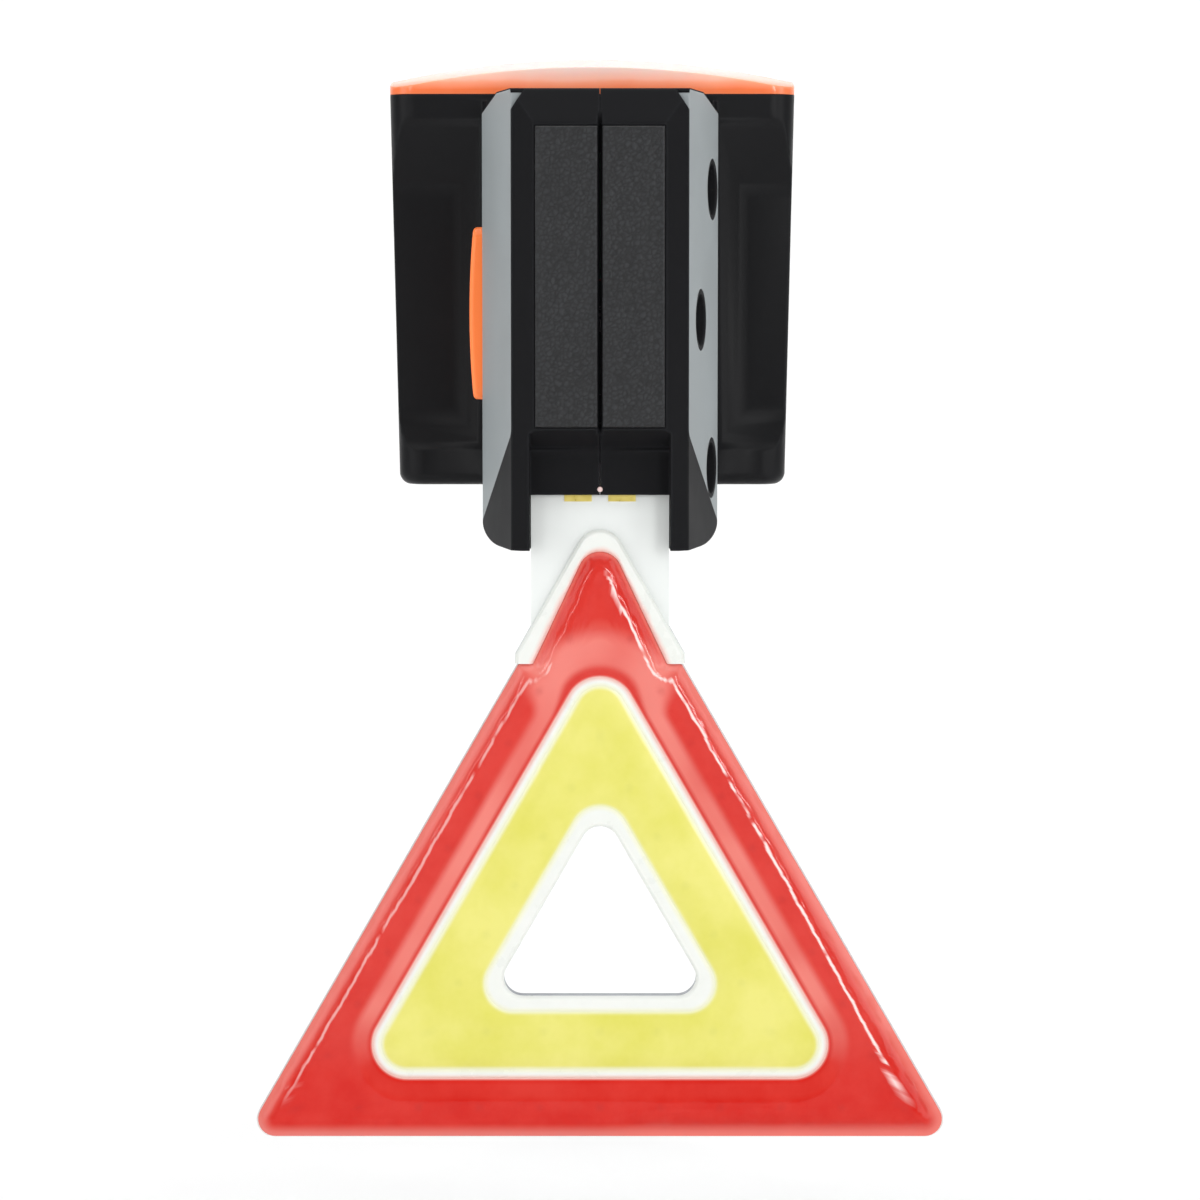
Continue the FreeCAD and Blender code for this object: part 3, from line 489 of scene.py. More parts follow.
def make_pad(side):
    """Fine grid over the pad's front, curled back at its rim and closed with walls and a flat back."""
    low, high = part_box("grip_pad_" + side)
    across = round((high.x - low.x) / pad_step)
    along = round((high.z - low.z) / pad_step)
    shape = bmesh.new()
    fade = shape.verts.layers.float.new("fade")
    rows = []
    for j in range(along + 1):
        row = []
        for i in range(across + 1):
            x = low.x + (high.x - low.x) * i / across
            z = low.z + (high.z - low.z) * j / along
            rim = min(x - low.x, high.x - x, z - low.z, high.z - z)
            curl = max(0.0, 1.0 - rim / pad_curl)
            drop = pad_curl * (1 - math.sqrt(max(0.0, 1 - curl * curl)))
            vert = shape.verts.new((x, low.y + 0.3 * grain_depth + drop, z))
            vert[fade] = min(1.0, rim / rim_fade_width) * min(1.0, (high.z - z) / top_fade_width + 0.15)
            row.append(vert)
        rows.append(row)
    for j in range(along):
        for i in range(across):
            shape.faces.new((rows[j][i], rows[j][i + 1], rows[j + 1][i + 1], rows[j + 1][i]))
    border = rows[0] + [row[-1] for row in rows[1:]] + rows[-1][-2::-1] + [row[0] for row in rows[-2:0:-1]]
    feet = [shape.verts.new((vert.co.x, high.y, vert.co.z)) for vert in border]
    for k in range(len(border)):
        after = (k + 1) % len(border)
        shape.faces.new((border[k], feet[k], feet[after], border[after]))
    shape.faces.new(feet)
    bmesh.ops.recalc_face_normals(shape, faces=shape.faces)
    mesh = bpy.data.meshes.new("pad_" + side)
    shape.to_mesh(mesh)
    shape.free()
    mesh.materials.append(pad_plastic)
    piece = add_object("pad_" + side, mesh)
    grain = piece.modifiers.new("grain", "NODES")
    grain.node_group = leather
    for key, value in zip(leather_inputs, (pebble_size, grain_depth, pad_plastic)):
        grain[key] = value
    mesh = applied(piece)
    mesh.shade_smooth()
    mesh.set_sharp_from_angle(angle=math.radians(60))
    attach(piece, "lamp")
    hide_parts("grip_pad_" + side)


for side in ("left", "right"):
    make_pad(side)


# ==== Thumb button ================================================================================
# An orange crowned cap in the neck's left side that pushes the switch behind it. Its emission is
# a painted glow, so it looks brighter than its surroundings.

orange_plastic = moulded_plastic(
    "orange_plastic", (0.93, 0.2, 0.045), (0.97, 0.34, 0.12), 0.34, 2400.0, 0.02 * mm, 0.5
)
painted_glow_shader = orange_plastic.node_tree.nodes["Principled BSDF"]
# painted glow: a weak orange emission on a cap that is no lamp
set_inputs(orange_plastic.node_tree, painted_glow_shader, {
    "Emission Color": (0.93, 0.2, 0.03), "Emission Strength": 0.28,
})
softened("thumb_button", "thumb_button", orange_plastic)


# ==== Warning panel board =========================================================================
# A stamped sheet of aluminium with white coating on its face, its tab clamped in the grip's
# pocket, and two gold-plated pads at the top of the tab for the socket's leaf springs.

white_board, tree, shader = add_material("white_board", Coat_Weight=0.15, Coat_Roughness=0.25)
place = add_position(tree)
stain = add_noise(tree, place, 110.0, 4.0)
coating = add_mix(tree, stain, (0.81, 0.845, 0.825), (0.86, 0.885, 0.87))
facing = tree.nodes.new("ShaderNodeTexCoord").outputs["Normal"]
turned_side = add_node(tree, "ShaderNodeSeparateXYZ", {"Vector": facing})
cut_edge = add_ramp(tree, add_math(tree, "ABSOLUTE", turned_side.outputs["Y"], 0.0), 0.5, 0.7, 1.0, 0.0)
sawn = add_noise(tree, place, 900.0, 3.0)
bare = add_mix(tree, sawn, (0.16, 0.18, 0.21), (0.3, 0.32, 0.36))
tree.links.new(add_mix(tree, cut_edge, coating, bare), shader.inputs["Base Color"])
tree.links.new(add_ramp(tree, stain, 0.3, 0.7, 0.3, 0.42), shader.inputs["Roughness"])
orange_peel = add_noise(tree, place, 1500.0, 2.0)
add_bump(tree, shader, orange_peel, 0.25, 0.02 * mm)
paint("panel_board", white_board)

gold, tree, shader = add_material("gold_plate", Metallic=1.0)
tarnish = add_noise(tree, add_position(tree), 1400.0, 3.0)
tree.links.new(add_mix(tree, tarnish, (0.86, 0.68, 0.12), (0.95, 0.8, 0.3)), shader.inputs["Base Color"])
tree.links.new(add_ramp(tree, tarnish, 0.3, 0.7, 0.25, 0.42), shader.inputs["Roughness"])
paint("contact_pads", gold)
paint("contact_springs", gold)

clear_pipe, tree, shader = add_material(
    "light_pipe", Roughness=0.2, Emission_Color=(0.9, 0.55, 0.5), Emission_Strength=0.15
)
haze = add_noise(tree, add_position(tree), 3000.0, 1.0)
tree.links.new(add_mix(tree, haze, (0.6, 0.45, 0.43), (0.75, 0.6, 0.58)), shader.inputs["Base Color"])
paint("indicator_light", clear_pipe)


# ==== Light chips =================================================================================
# Small packaged chips soldered in rows along the middle of each field: a pale ceramic body with a
# yellow phosphor window and bright solder ends. They show through the silicone as faint dots.

chip_size = (0.9 * mm, 0.25 * mm, 0.6 * mm)

chip_body, tree, shader = add_material("light_chips")
grit = add_noise(tree, add_position(tree), 5000.0, 2.0)
tree.links.new(add_mix(tree, grit, (0.5, 0.45, 0.2), (0.62, 0.56, 0.28)), shader.inputs["Base Color"])
tree.links.new(add_ramp(tree, grit, 0.3, 0.7, 0.3, 0.5), shader.inputs["Roughness"])


def chip_middles(node):
    """Middle of each chip on the board's face, read from the node's own mesh."""
    shape = bmesh.new()
    shape.from_mesh(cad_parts[node].data)
    bmesh.ops.remove_doubles(shape, verts=shape.verts, dist=0.002 * mm)
    middles = []
    seen = set()
    for vert in shape.verts:
        if vert in seen:
            continue
        island, edge_of = [], [vert]
        seen.add(vert)
        while edge_of:
            here = edge_of.pop()
            island.append(here.co.copy())
            for link in here.link_edges:
                other = link.other_vert(here)
                if other not in seen:
                    seen.add(other)
                    edge_of.append(other)
        lowest = [min(p[i] for p in island) for i in range(3)]
        highest = [max(p[i] for p in island) for i in range(3)]
        middles.append(Vector([(a + b) / 2 for a, b in zip(lowest, highest)]))
    shape.free()
    return middles


def chip_tree():
    """Geometry nodes that set one small chip on every point of a row."""
    tree, start, keys = add_geometry_tree(
        "chip_row", [("Chip Size", "NodeSocketVector"), ("Finish", "NodeSocketMaterial")]
    )
    size = start["Chip Size"]
    body = add_node(tree, "GeometryNodeMeshCube", {"Size": size})
    shrunk = add_vector_math(tree, "MULTIPLY", {0: size, 1: (0.6, 0.3, 0.7)})
    window = add_node(tree, "GeometryNodeMeshCube", {"Size": shrunk})
    raised = add_vector_math(tree, "MULTIPLY", {0: size, 1: (0.0, -0.42, 0.0)})
    lift = {"Geometry": window.outputs["Mesh"], "Translation": raised}
    both = add_node(tree, "GeometryNodeJoinGeometry", {"Geometry": body.outputs["Mesh"]})
    lifted = add_node(tree, "GeometryNodeTransform", lift).outputs["Geometry"]
    tree.links.new(lifted, both.inputs["Geometry"])
    copies = add_node(
        tree, "GeometryNodeInstanceOnPoints",
        {"Points": start["Geometry"], "Instance": both.outputs["Geometry"]},
    )
    finish_geometry(tree, copies.outputs["Instances"], start["Finish"])
    return tree, keys


chip_row, chip_inputs = chip_tree()
chip_places = {}
for node in ("led_chips_red", "led_chips_yellow"):
    chip_places[node] = chip_middles(node)
    row_mesh = bpy.data.meshes.new(node + "_row")
    row_mesh.from_pydata([tuple(p) for p in chip_places[node]], [], [])
    row = add_object(node + "_row", row_mesh)
    setting = row.modifiers.new("chips", "NODES")
    setting.node_group = chip_row
    for key, value in zip(chip_inputs, (chip_size, chip_body)):
        setting[key] = value
    applied(row)
    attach(row, "lamp")
    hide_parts(node)


# ==== Silicone fields and dams ====================================================================
# Liquid silicone, coloured with phosphor, poured over the rows of light chips and cured. It domes
# up between thin white dams, and is paler where it thins out over the white board. The red field also has
# a painted sheen on its inner slope and a painted highlight along its crest.

def triangle_of(node):
    """Middle, inner radius and corner radius of the rounded triangle that fills a node's box."""
    low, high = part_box(node)
    half, tall = (high.x - low.x) / 2, high.z - low.z
    corner = (tall - math.sqrt(3) * half) / (2 - math.sqrt(3))
    inner = (tall + corner) / 3
    return Vector(((low.x + high.x) / 2, low.z + inner)), inner, corner


def triangle_corners(middle, inner):
    half = inner * math.sqrt(3)
    return [
        (middle.x - half, middle.y - inner), (middle.x + half, middle.y - inner),
        (middle.x, middle.y + 2 * inner),
    ]


def rounded_outline(corners, radii, step, closed=True):
    """Evenly spaced points along an outline whose corners are arcs."""
    path = []
    count = len(corners)
    for i in range(count):
        here = Vector(corners[i])
        if radii[i] == 0:
            path.append(here)
            continue
        back = (Vector(corners[i - 1]) - here).normalized()
        ahead = (Vector(corners[(i + 1) % count]) - here).normalized()
        half = back.angle(ahead) / 2
        reach = radii[i] / math.tan(half)
        middle = here + (back + ahead).normalized() * (radii[i] / math.sin(half))
        first = here + back * reach - middle
        sweep = math.pi - 2 * half
        if back.x * ahead.y - back.y * ahead.x > 0:
            sweep = -sweep
        bends = max(2, math.ceil(abs(sweep) * radii[i] / step) + 1)
        for k in range(bends):
            path.append(middle + Matrix.Rotation(sweep * k / (bends - 1), 2) @ first)
    points = []
    runs = len(path) if closed else len(path) - 1
    for i in range(runs):
        a, b = path[i], path[(i + 1) % len(path)]
        parts = max(1, round((b - a).length / step))
        points += [a + (b - a) * k / parts for k in range(parts)]
    if not closed:
        points.append(path[-1])
    return points


def nearest_on(outline, spot):
    """Closest point of a closed outline."""
    best, found = 1e9, None
    for i in range(len(outline)):
        a, b = outline[i], outline[(i + 1) % len(outline)]
        edge = b - a
        share = max(0.0, min(1.0, (spot - a).dot(edge) / max(edge.length_squared, 1e-18)))
        near = a + edge * share
        gap = (near - spot).length_squared
        if gap < best:
            best, found = gap, near
    return found


def finder_of(points):
    finder = KDTree(len(points))
    for index, spot in enumerate(points):
        finder.insert((spot.x, spot.y, 0.0), index)
    finder.balance()
    return finder


def distance_to(finder, spot):
    return finder.find((spot.x, spot.y, 0.0))[2]


# distances from the outer and the inner edge at which a field's surface has its points
outer_steps = [
    0, 0.04, 0.1, 0.2, 0.34, 0.52, 0.75, 1.0, 1.2, 1.35, 1.47, 1.57, 1.65, 1.73, 1.81, 1.89, 1.97, 2.05,
    2.13, 2.22, 2.31, 2.4, 2.49, 2.58, 2.67, 2.76, 2.85, 2.94, 3.03, 3.15,
]
inner_steps = [0, 0.05, 0.12, 0.22, 0.36, 0.55, 0.8, 1.05, 1.3, 1.55, 1.8, 2.05, 2.3, 2.55, 2.8]


def poured(name, node, outer, inner, board_y, height_at, material, attributes, fine_outer, closed=True):
    """Silicone between two outlines, with its height set from the distance to each edge."""
    feet = [nearest_on(inner, spot) for spot in outer] if closed else inner
    finder = finder_of(fine_outer)
    shape = bmesh.new()
    layers = {key: shape.verts.layers.float.new(key) for key in attributes}
    rings = []
    steps = []
    for spot, foot in zip(outer, feet):
        width = (foot - spot).length
        scale = min(1.0, width / ((outer_steps[-1] + inner_steps[-1] + 0.2) * mm))
        near = [step * mm * scale for step in outer_steps]
        far = [width - step * mm * scale for step in reversed(inner_steps)]
        gap = far[0] - near[-1]
        steps.append(near + [near[-1] + gap * k / 6 for k in range(1, 6)] + far)
    for k in range(len(steps[0])):
        ring = []
        for spot, foot, span in zip(outer, feet, steps):
            width = (foot - spot).length
            flat = spot + (foot - spot) * (span[k] / max(width, 1e-9))
            outside = 0.0 if k == 0 else distance_to(finder, flat)
            inside = width - span[k]
            vert = shape.verts.new((flat.x, board_y - height_at(outside, inside, flat), flat.y))
            for key, layer in layers.items():
                vert[layer] = attributes[key](outside, inside, flat)
            ring.append(vert)
        rings.append(ring)
    rings.insert(0, [shape.verts.new((p.x, board_y, p.y)) for p in outer])
    rings.append([shape.verts.new((p.x, board_y, p.y)) for p in feet])
    size = len(outer)
    for k in range(len(rings)):
        this, following = rings[k], rings[(k + 1) % len(rings)]
        for i in range(size if closed else size - 1):
            j = (i + 1) % size
            shape.faces.new((this[i], this[j], following[j], following[i]))
    if not closed:
        shape.faces.new([ring[0] for ring in rings])
        shape.faces.new([ring[-1] for ring in reversed(rings)])
    bmesh.ops.remove_doubles(shape, verts=shape.verts, dist=0.001 * mm)
    bmesh.ops.recalc_face_normals(shape, faces=shape.faces)
    mesh = bpy.data.meshes.new(name)
    shape.to_mesh(mesh)
    shape.free()
    mesh.materials.append(material)
    mesh.shade_smooth()
    mesh.set_sharp_from_angle(angle=math.radians(65))
    piece = add_object(name, mesh)
    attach(piece, "lamp")
    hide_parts(node)
    return piece


def eased(value, low, high):
    share = max(0.0, min(1.0, (value - low) / (high - low)))
    return share * share * (3 - 2 * share)


board_y = panel_low.y
middle, border_inner, border_corner = triangle_of("middle_dam")
yellow_middle, yellow_inner, yellow_corner = triangle_of("yellow_gel")
rim_middle, rim_inner, rim_corner = triangle_of("hole_dam")
red_low, red_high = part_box("red_gel")
arch_low, arch_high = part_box("outer_dam")
yellow_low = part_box("yellow_gel")[0]
outline_step = 0.4 * mm
fine_step = 0.08 * mm
shoulder_z = arch_low.z

# outline of the red field: a triangle whose top is drawn out into a rounded point on the tab
red_corner = 1.9 * mm
red_inner = middle.y - red_low.z
side_x = (middle.y + 2 * red_inner - shoulder_z) / math.sqrt(3)
point_radius = 2.4 * mm
point_slope = math.radians(25.3)
point_top = red_high.z - point_radius + point_radius / math.sin(point_slope)
foot_x = (point_top - shoulder_z) * math.tan(point_slope)
red_corners = triangle_corners(middle, red_inner)[:2] + [
    (middle.x + side_x, shoulder_z), (middle.x + foot_x, shoulder_z), (middle.x, point_top),
    (middle.x - foot_x, shoulder_z), (middle.x - side_x, shoulder_z),
]
red_radii = [red_corner, red_corner, 0.3 * mm, 0.4 * mm, point_radius, 0.4 * mm, 0.3 * mm]
red_outline = rounded_outline(red_corners, red_radii, outline_step)
red_fine = rounded_outline(red_corners, red_radii, fine_step)
border_outline = rounded_outline(triangle_corners(middle, border_inner), [border_corner] * 3, outline_step)

red_height = board_y - red_low.y
dam_height = board_y - arch_low.y
chip_finder = {}
for node, places in chip_places.items():
    chip_finder[node] = finder_of([Vector((p.x, p.z)) for p in places])


def drift(spot, size, seed):
    return noise.noise(Vector((spot.x / size, spot.y / size, seed)))


# cross-section of the red field, in millimetres and slopes: steep outer side, round crest, dip
crest_start = 1.0
crest_end = 2.4
dip_end = 3.4
side_slope = 0.466
side_steepening = 0.5
start_rise = 0.716
crest_bend = 0.198
end_rise = 0.98
dip_slope = 0.088
crest_rise = 0.99
crest_place = 1.86
bead_edge = 0.93


def crest_shift(spot):
    """How many millimetres the crest lies further in than usual; it drifts in low on the right."""
    wander = 0.17 * drift(spot, 2.2 * mm, 3.0) + 0.1 * drift(spot, 0.7 * mm, 9.0)
    right = eased(spot.x - middle.x, 0.0, 6.0 * mm)
    down = max(0.0, (shoulder_z - spot.y) / (shoulder_z - red_low.z))
    return wander - 0.1 + 1.1 * right * down * down


def red_surface(outside, inside, spot):
    """Rises steeply, rounds over an uneven crest, dips, and runs down to the middle dam."""
    along = max(0.0, outside / mm - crest_shift(spot) * min(1.0, outside / mm))
    if along < crest_start:
        rise = side_slope * along + side_steepening * (along - along * along / 2)
    elif along < crest_end:
        past = along - crest_start
        rise = start_rise + side_slope * past - crest_bend * past ** 2
    else:
        past = min(along, dip_end) - crest_end
        rise = end_rise - dip_slope * past + dip_slope / 2 * past * past
    top = red_height - (crest_rise - rise) * mm
    foot = bead_edge * dam_height
    ripple = 0.02 * mm * abs(drift(spot, 4.0 * mm, 1.0))
    return foot + (top - foot) * eased(inside, -0.7 * mm, 2.9 * mm) - ripple


def stretched(inside, spot):
    """Inside distance as it spreads out above the middle dam's top corner."""
    top = middle.y + 2 * border_inner - border_corner
    return inside / (1.0 + 1.25 * eased(spot.y, top - 4.5 * mm, top + 0.5 * mm))


def red_thin_and_sheen(outside, inside, spot):
    """Where the field is pale: its outer rim, where the silicone thins, and a painted sheen on the slope
    to the middle dam, faded out low down.
    """
    if spot.y > shoulder_z:
        rim = 0.8 * (1 - eased(outside, 0.0, 0.6 * mm))
    else:
        rim = 0.8 * (1 - eased(outside, 0.15 * mm, 1.7 * mm))
    away = stretched(inside, spot)
    foot = middle.y - border_inner
    rim += 0.08 * eased(spot.y, foot, foot + 4.0 * mm)
    # painted sheen on the inner slope, faded out towards the bottom
    band = eased(away, 0.35 * mm, 0.8 * mm) * (1 - eased(away, 1.7 * mm, 2.75 * mm))
    low_fade = 0.08 + 0.92 * eased(spot.y, foot + 1.0 * mm, foot + 9.0 * mm)
    uneven = 0.82 + 0.36 * drift(spot, 5.0 * mm, 6.0)
    return min(1.0, rim + 0.95 * band * low_fade * uneven)


def red_crest_highlight(outside, inside, spot):
    """Painted highlight: a pale line along the crest, stronger on the right than on the left."""
    gap = abs(outside / mm - crest_shift(spot) - crest_place)
    broken = eased(drift(spot, 1.5 * mm, 12.0), -0.6, -0.1)
    low = eased(spot.y, red_low.z + 3.0 * mm, red_low.z + 7.0 * mm)
    strength = 1.0 if spot.x > middle.x else 0.45
    if spot.y > shoulder_z:
        strength = eased(spot.x - middle.x, 0.4 * mm, 1.2 * mm)
    return (1 - eased(gap, 0.07, 0.2)) * broken * low * strength


def red_edge(outside, inside, spot):
    """Where the red runs out over the white dam."""
    return 1 - eased(inside, 0.0, 0.3 * mm)


def red_dots(outside, inside, spot):
    return 1 - eased(distance_to(chip_finder["led_chips_red"], spot), 0.1 * mm, 0.7 * mm)


# Poured silicone: slow swirls from pouring for colour, and a fine ripple for the surface.
pour_marks, pour_in, pour_out = add_group(
    "pour_marks",
    [("Position", "NodeSocketVector", None), ("Swirl Scale", "NodeSocketFloat", 200.0),
     ("Ripple Scale", "NodeSocketFloat", 400.0)],
    [("Swirl", "NodeSocketFloat"), ("Ripple", "NodeSocketFloat")],
)
swirl = add_noise(pour_marks, pour_in.outputs["Position"], pour_in.outputs["Swirl Scale"], 4.0, 0.6)
ripple = add_noise(pour_marks, pour_in.outputs["Position"], pour_in.outputs["Ripple Scale"], 2.0, 0.5)
pour_marks.links.new(add_ramp(pour_marks, swirl, 0.35, 0.65), pour_out.inputs["Swirl"])
pour_marks.links.new(ripple, pour_out.inputs["Ripple"])


def read_attribute(tree, name):
    node = tree.nodes.new("ShaderNodeAttribute")
    node.attribute_name = name
    return node.outputs["Fac"]


red_silicone, tree, shader = add_material(
    "red_silicone", Specular_IOR_Level=0.22, Coat_Roughness=0.04, Subsurface_Weight=0.06,
    Subsurface_Radius=(1.0, 0.2, 0.15), Subsurface_Scale=0.6 * mm,
)
marks = place_group(tree, pour_marks, Position=add_position(tree), Swirl_Scale=260.0, Ripple_Scale=420.0)
deep = add_mix(tree, marks.outputs["Swirl"], (0.615, 0.012, 0.006), (0.66, 0.024, 0.015))
# pale at the thinned rim, and a painted sheen on the inner slope
pale_and_sheen = add_mix(tree, read_attribute(tree, "thin_and_sheen"), deep, (0.81, 0.215, 0.18))
shown = add_math(tree, "MULTIPLY", read_attribute(tree, "dots"), 0.22)
dotted = add_mix(tree, shown, pale_and_sheen, (0.42, 0.02, 0.02))
# painted highlight: a near-white line along the crest
crest_highlighted = add_mix(tree, read_attribute(tree, "crest"), dotted, (1.0, 0.78, 0.75))
tree.links.new(
    add_mix(tree, read_attribute(tree, "edge"), crest_highlighted, (0.86, 0.58, 0.52)), shader.inputs["Base Color"]
)
tree.links.new(add_ramp(tree, marks.outputs["Swirl"], 0.0, 1.0, 0.13, 0.2), shader.inputs["Roughness"])
tree.links.new(add_ramp(tree, marks.outputs["Swirl"], 0.0, 1.0, 0.12, 0.2), shader.inputs["Coat Weight"])
add_bump(tree, shader, marks.outputs["Ripple"], 0.3, 0.03 * mm)
poured(
    "red_field", "red_gel", red_outline, border_outline, board_y, red_surface, red_silicone,
    {"thin_and_sheen": red_thin_and_sheen, "crest": red_crest_highlight, "edge": red_edge, "dots": red_dots}, red_fine,
)

# yellow field, with the rows of chips faintly showing
yellow_height = board_y - yellow_low.y
yellow_corners = triangle_corners(yellow_middle, yellow_inner)
yellow_outline = rounded_outline(yellow_corners, [yellow_corner] * 3, outline_step)
yellow_fine = rounded_outline(yellow_corners, [yellow_corner] * 3, fine_step)
rim_outline = rounded_outline(triangle_corners(rim_middle, rim_inner), [rim_corner] * 3, outline_step)


def yellow_surface(outside, inside, spot):
    """Low dome between the middle dam and the hole's dam."""
    up = 1 - max(0.0, 1 - outside / (2.2 * mm)) ** 2
    down = 1 - max(0.0, 1 - inside / (2.2 * mm)) ** 2
    foot = bead_edge * dam_height
    ripple = 0.02 * mm * abs(drift(spot, 4.0 * mm, 2.0))
    return foot + (yellow_height - foot) * min(up, down) - ripple


def yellow_edge(outside, inside, spot):
    outer_fade = 1 - eased(outside, -0.1 * mm, 0.55 * mm)
    inner_fade = 1 - eased(inside, -0.1 * mm, 0.5 * mm)
    return max(outer_fade, inner_fade)


def yellow_dots(outside, inside, spot):
    return 1 - eased(distance_to(chip_finder["led_chips_yellow"], spot), 0.15 * mm, 0.75 * mm)


yellow_silicone, tree, shader = add_material(
    "yellow_silicone", IOR=1.41, Coat_Roughness=0.08, Subsurface_Weight=0.1,
    Subsurface_Radius=(1.0, 0.9, 0.3), Subsurface_Scale=0.6 * mm,
)
marks = place_group(tree, pour_marks, Position=add_position(tree), Swirl_Scale=110.0, Ripple_Scale=300.0)
body = add_mix(tree, marks.outputs["Swirl"], (0.71, 0.685, 0.12), (0.79, 0.755, 0.2))
dots = add_math(tree, "MULTIPLY", read_attribute(tree, "dots"), 0.16)
dotted = add_mix(tree, dots, body, (0.55, 0.56, 0.12))
tree.links.new(
    add_mix(tree, read_attribute(tree, "edge"), dotted, (0.84, 0.86, 0.66)), shader.inputs["Base Color"]
)
tree.links.new(add_ramp(tree, marks.outputs["Swirl"], 0.0, 1.0, 0.3, 0.4), shader.inputs["Roughness"])
tree.links.new(add_ramp(tree, marks.outputs["Swirl"], 0.0, 1.0, 0.04, 0.1), shader.inputs["Coat Weight"])
add_bump(tree, shader, marks.outputs["Ripple"], 0.3, 0.04 * mm)
poured(
    "yellow_field", "yellow_gel", yellow_outline, rim_outline, board_y, yellow_surface, yellow_silicone,
    {"edge": yellow_edge, "dots": yellow_dots}, yellow_fine,
)

# white dams: beads of stiff silicone laid down before the fields are poured
white_silicone, tree, shader = add_material(
    "white_silicone", IOR=1.41, Subsurface_Weight=0.15,
    Subsurface_Radius=(1.0, 0.9, 0.8), Subsurface_Scale=0.5 * mm,
)
marks = place_group(tree, pour_marks, Position=add_position(tree), Swirl_Scale=300.0, Ripple_Scale=500.0)
plain = add_mix(tree, marks.outputs["Swirl"], (0.8, 0.825, 0.785), (0.83, 0.85, 0.815))
stained = add_mix(tree, read_attribute(tree, "pink"), plain, (0.84, 0.46, 0.4))
tree.links.new(
    add_mix(tree, read_attribute(tree, "cream"), stained, (0.84, 0.84, 0.56)), shader.inputs["Base Color"]
)
tree.links.new(add_ramp(tree, marks.outputs["Swirl"], 0.0, 1.0, 0.26, 0.36), shader.inputs["Roughness"])
add_bump(tree, shader, marks.outputs["Ripple"], 0.2, 0.02 * mm)


def bead_surface(outer_lip, inner_lip, lip):
    """Surface of a bead that is rounded down by a share of its height at either edge."""
    def surface(outside, inside, spot):
        outer_drop = outer_lip * (1 - eased(outside, -lip, lip))
        inner_drop = inner_lip * (1 - eased(inside, -lip, lip))
        return dam_height * max(0.25, 1 - outer_drop - inner_drop)
    return surface


def outer_fade(outside, inside, spot):
    return 0.9 * (1 - eased(outside, -0.15 * mm, 0.5 * mm))


def rim_fade(outside, inside, spot):
    return 0.9 * (1 - eased(outside, -0.2 * mm, 0.6 * mm))


def inner_fade(outside, inside, spot):
    return 0.95 * (1 - eased(inside, -0.2 * mm, 0.55 * mm))


def red_bleed(outside, inside, spot):
    """Red that has crept over the white dam from the field inside it."""
    reach = 0.75 * mm + 0.25 * mm * drift(spot, 1.5 * mm, 8.0)
    return 0.9 * (1 - eased(inside, -0.15 * mm, reach))


hole_corner = 2.1 * mm
hole_inner = rim_inner - 1.6 * mm
hole_outline = rounded_outline(triangle_corners(rim_middle, hole_inner), [hole_corner] * 3, outline_step)
rim_fine = rounded_outline(triangle_corners(rim_middle, rim_inner), [rim_corner] * 3, fine_step)
border_fine = rounded_outline(triangle_corners(middle, border_inner), [border_corner] * 3, fine_step)
poured(
    "middle_bead", "middle_dam", border_outline, yellow_outline, board_y,
    bead_surface(0.14, 0.14, 0.4 * mm), white_silicone, {"pink": outer_fade, "cream": inner_fade},
    border_fine,
)
poured(
    "hole_bead", "hole_dam", rim_outline, hole_outline, board_y, bead_surface(0.14, 0.9, 0.35 * mm),
    white_silicone, {"cream": rim_fade}, rim_fine,
)

# the dam round the point is open at its two feet on the shoulders
dam_slope = math.radians(29.4)
dam_radius = 2.6 * mm
dam_half = (arch_high.x - arch_low.x) / 2
dam_top = arch_high.z - dam_radius + dam_radius / math.sin(dam_slope)
dam_bend = dam_top - dam_half / math.tan(dam_slope)
outer_path = [
    (middle.x + dam_half, shoulder_z), (middle.x + dam_half, dam_bend), (middle.x, dam_top),
    (middle.x - dam_half, dam_bend), (middle.x - dam_half, shoulder_z),
]
dam_outline = rounded_outline(outer_path, [0, 0, dam_radius, 0, 0], outline_step, closed=False)
dam_fine = rounded_outline(outer_path, [0, 0, dam_radius, 0, 0], fine_step, closed=False)
inner_path = [(middle.x + foot_x, shoulder_z), (middle.x, point_top), (middle.x - foot_x, shoulder_z)]
point_outline = rounded_outline(inner_path, [0, point_radius, 0], outline_step, closed=False)


def matched(path, count):
    """The same path with a given number of evenly spaced points."""
    lengths = [0.0]
    for a, b in zip(path, path[1:]):
        lengths.append(lengths[-1] + (b - a).length)
    result = []
    k = 0
    for i in range(count):
        want = lengths[-1] * i / (count - 1)
        while k < len(path) - 2 and lengths[k + 1] < want:
            k += 1
        share = (want - lengths[k]) / max(lengths[k + 1] - lengths[k], 1e-12)
        result.append(path[k] + (path[k + 1] - path[k]) * share)
    return result


poured(
    "point_bead", "outer_dam", matched(dam_outline, 110), matched(point_outline, 110), board_y,
    bead_surface(1.0, 0.5, 0.4 * mm), white_silicone, {"pink": red_bleed}, dam_fine, closed=False,
)


# ==== Floor, backdrop and lights ==================================================================
# A white sweep under and behind the lamp, two tall soft boxes beside it and a softer one above,
# two short strips in front for the gloss on the silicone, and a box that lights the backdrop.

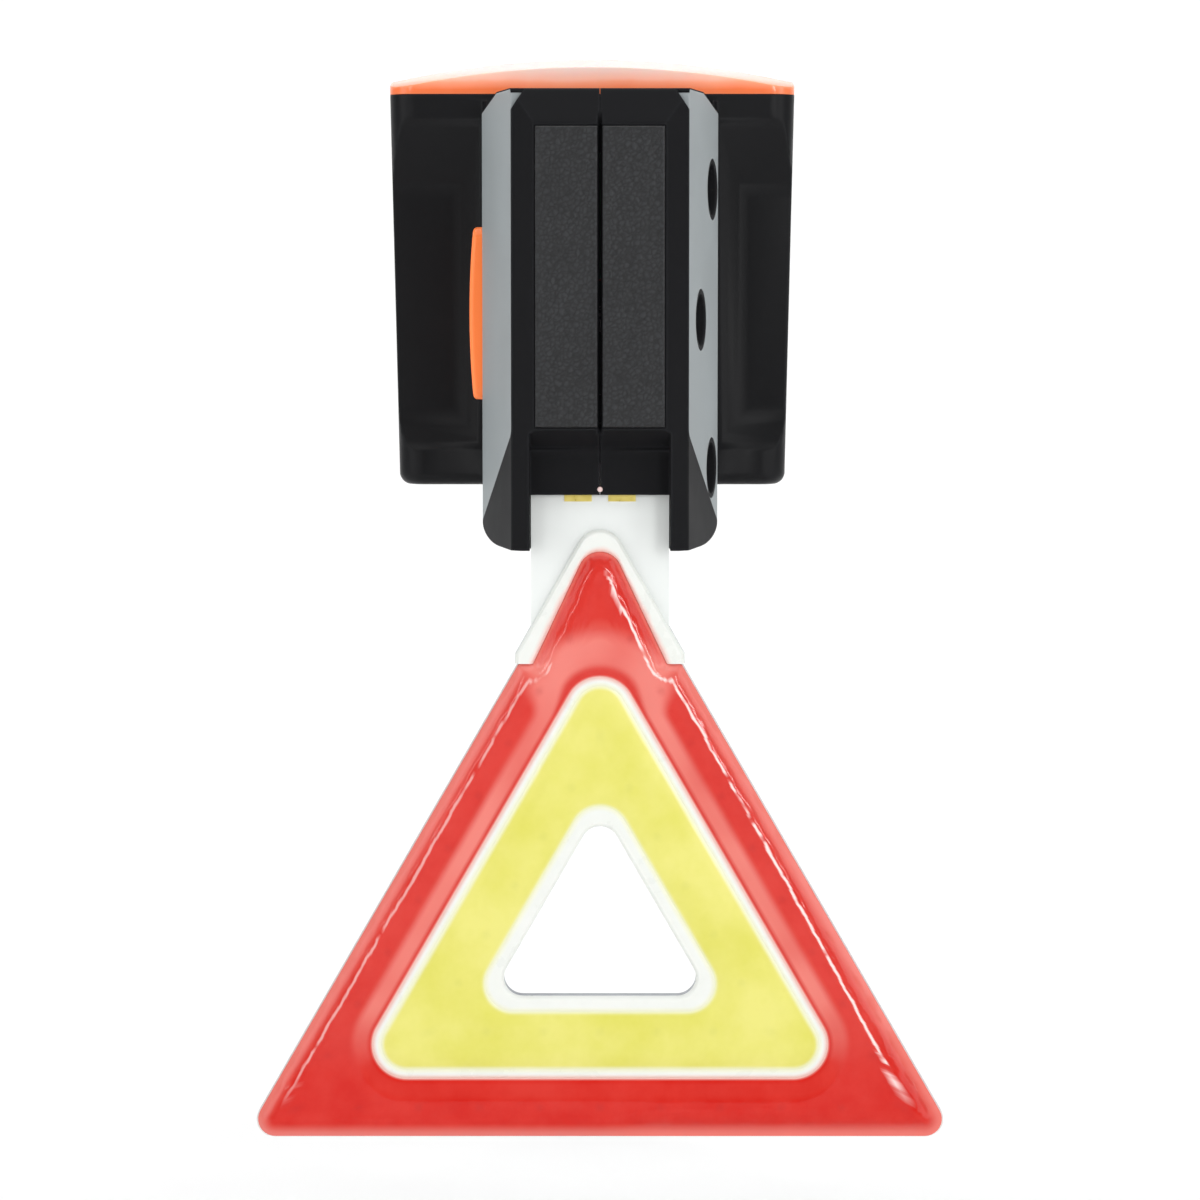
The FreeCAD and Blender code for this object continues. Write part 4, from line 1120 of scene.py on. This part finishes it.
sweep = bmesh.new()
floor_z = cad_box[0].z - 14 * mm
curve_radius = 250 * mm
curve_start = 300 * mm
outline = [(-900 * mm, floor_z), (curve_start, floor_z)]
for k in range(1, 13):
    angle = math.pi / 2 * k / 12
    bend_y = curve_start + curve_radius * math.sin(angle)
    outline.append((bend_y, floor_z + curve_radius * (1 - math.cos(angle))))
outline.append((curve_start + curve_radius, floor_z + 1400 * mm))
columns = []
for x in (-1400 * mm, 1400 * mm):
    columns.append([sweep.verts.new((x, y, z)) for y, z in outline])
for k in range(len(outline) - 1):
    sweep.faces.new((columns[0][k], columns[1][k], columns[1][k + 1], columns[0][k + 1]))
sweep_mesh = bpy.data.meshes.new("backdrop")
sweep.to_mesh(sweep_mesh)
sweep.free()
sweep_mesh.shade_smooth()
paper, tree, shader = add_material("white_paper", Roughness=0.85)
fibre = add_noise(tree, add_position(tree), 60.0, 3.0)
tree.links.new(add_mix(tree, fibre, (0.93, 0.93, 0.93), (0.95, 0.95, 0.95)), shader.inputs["Base Color"])
sweep_mesh.materials.append(paper)
backdrop = add_object("backdrop", sweep_mesh)


def add_soft_box(name, place, target, width, height, power, tilt=0.0):
    data = bpy.data.lights.new(name, "AREA")
    data.shape = "RECTANGLE"
    data.size = width
    data.size_y = height
    data.energy = power
    light = add_object(name, data)
    light.location = place
    aimed = (Vector(target) - Vector(place)).to_track_quat("-Z", "Y").to_matrix()
    light.rotation_euler = (aimed @ Matrix.Rotation(math.radians(tilt), 3, "Z")).to_euler()


target = (0.0, panel_low.y, -35 * mm)
add_soft_box("left_box", (-0.62, -0.42, 0.1), target, 0.35, 0.9, 2.1)
add_soft_box("right_box", (0.62, -0.42, 0.1), target, 0.35, 0.9, 2.1)
add_soft_box("top_box", (0.0, -0.35, 0.75), target, 0.9, 0.5, 2.3)
add_soft_box("right_strip", (0.31, -0.71, 0.13), target, 0.05, 0.26, 1.0, 30)
add_soft_box("left_strip", (-0.31, -0.71, 0.13), target, 0.05, 0.26, 0.4, -30)
add_soft_box("back_box", (0.0, 0.25, 0.9), (0.0, 0.5, 0.0), 1.6, 0.5, 5.0)

world = bpy.data.worlds.new("studio")
bpy.context.scene.world = world
world.use_nodes = True
world.node_tree.nodes["Background"].inputs["Color"].default_value = (1.0, 1.0, 1.0, 1.0)
world.node_tree.nodes["Background"].inputs["Strength"].default_value = 0.25
bpy.context.scene.view_settings.view_transform = "Standard"
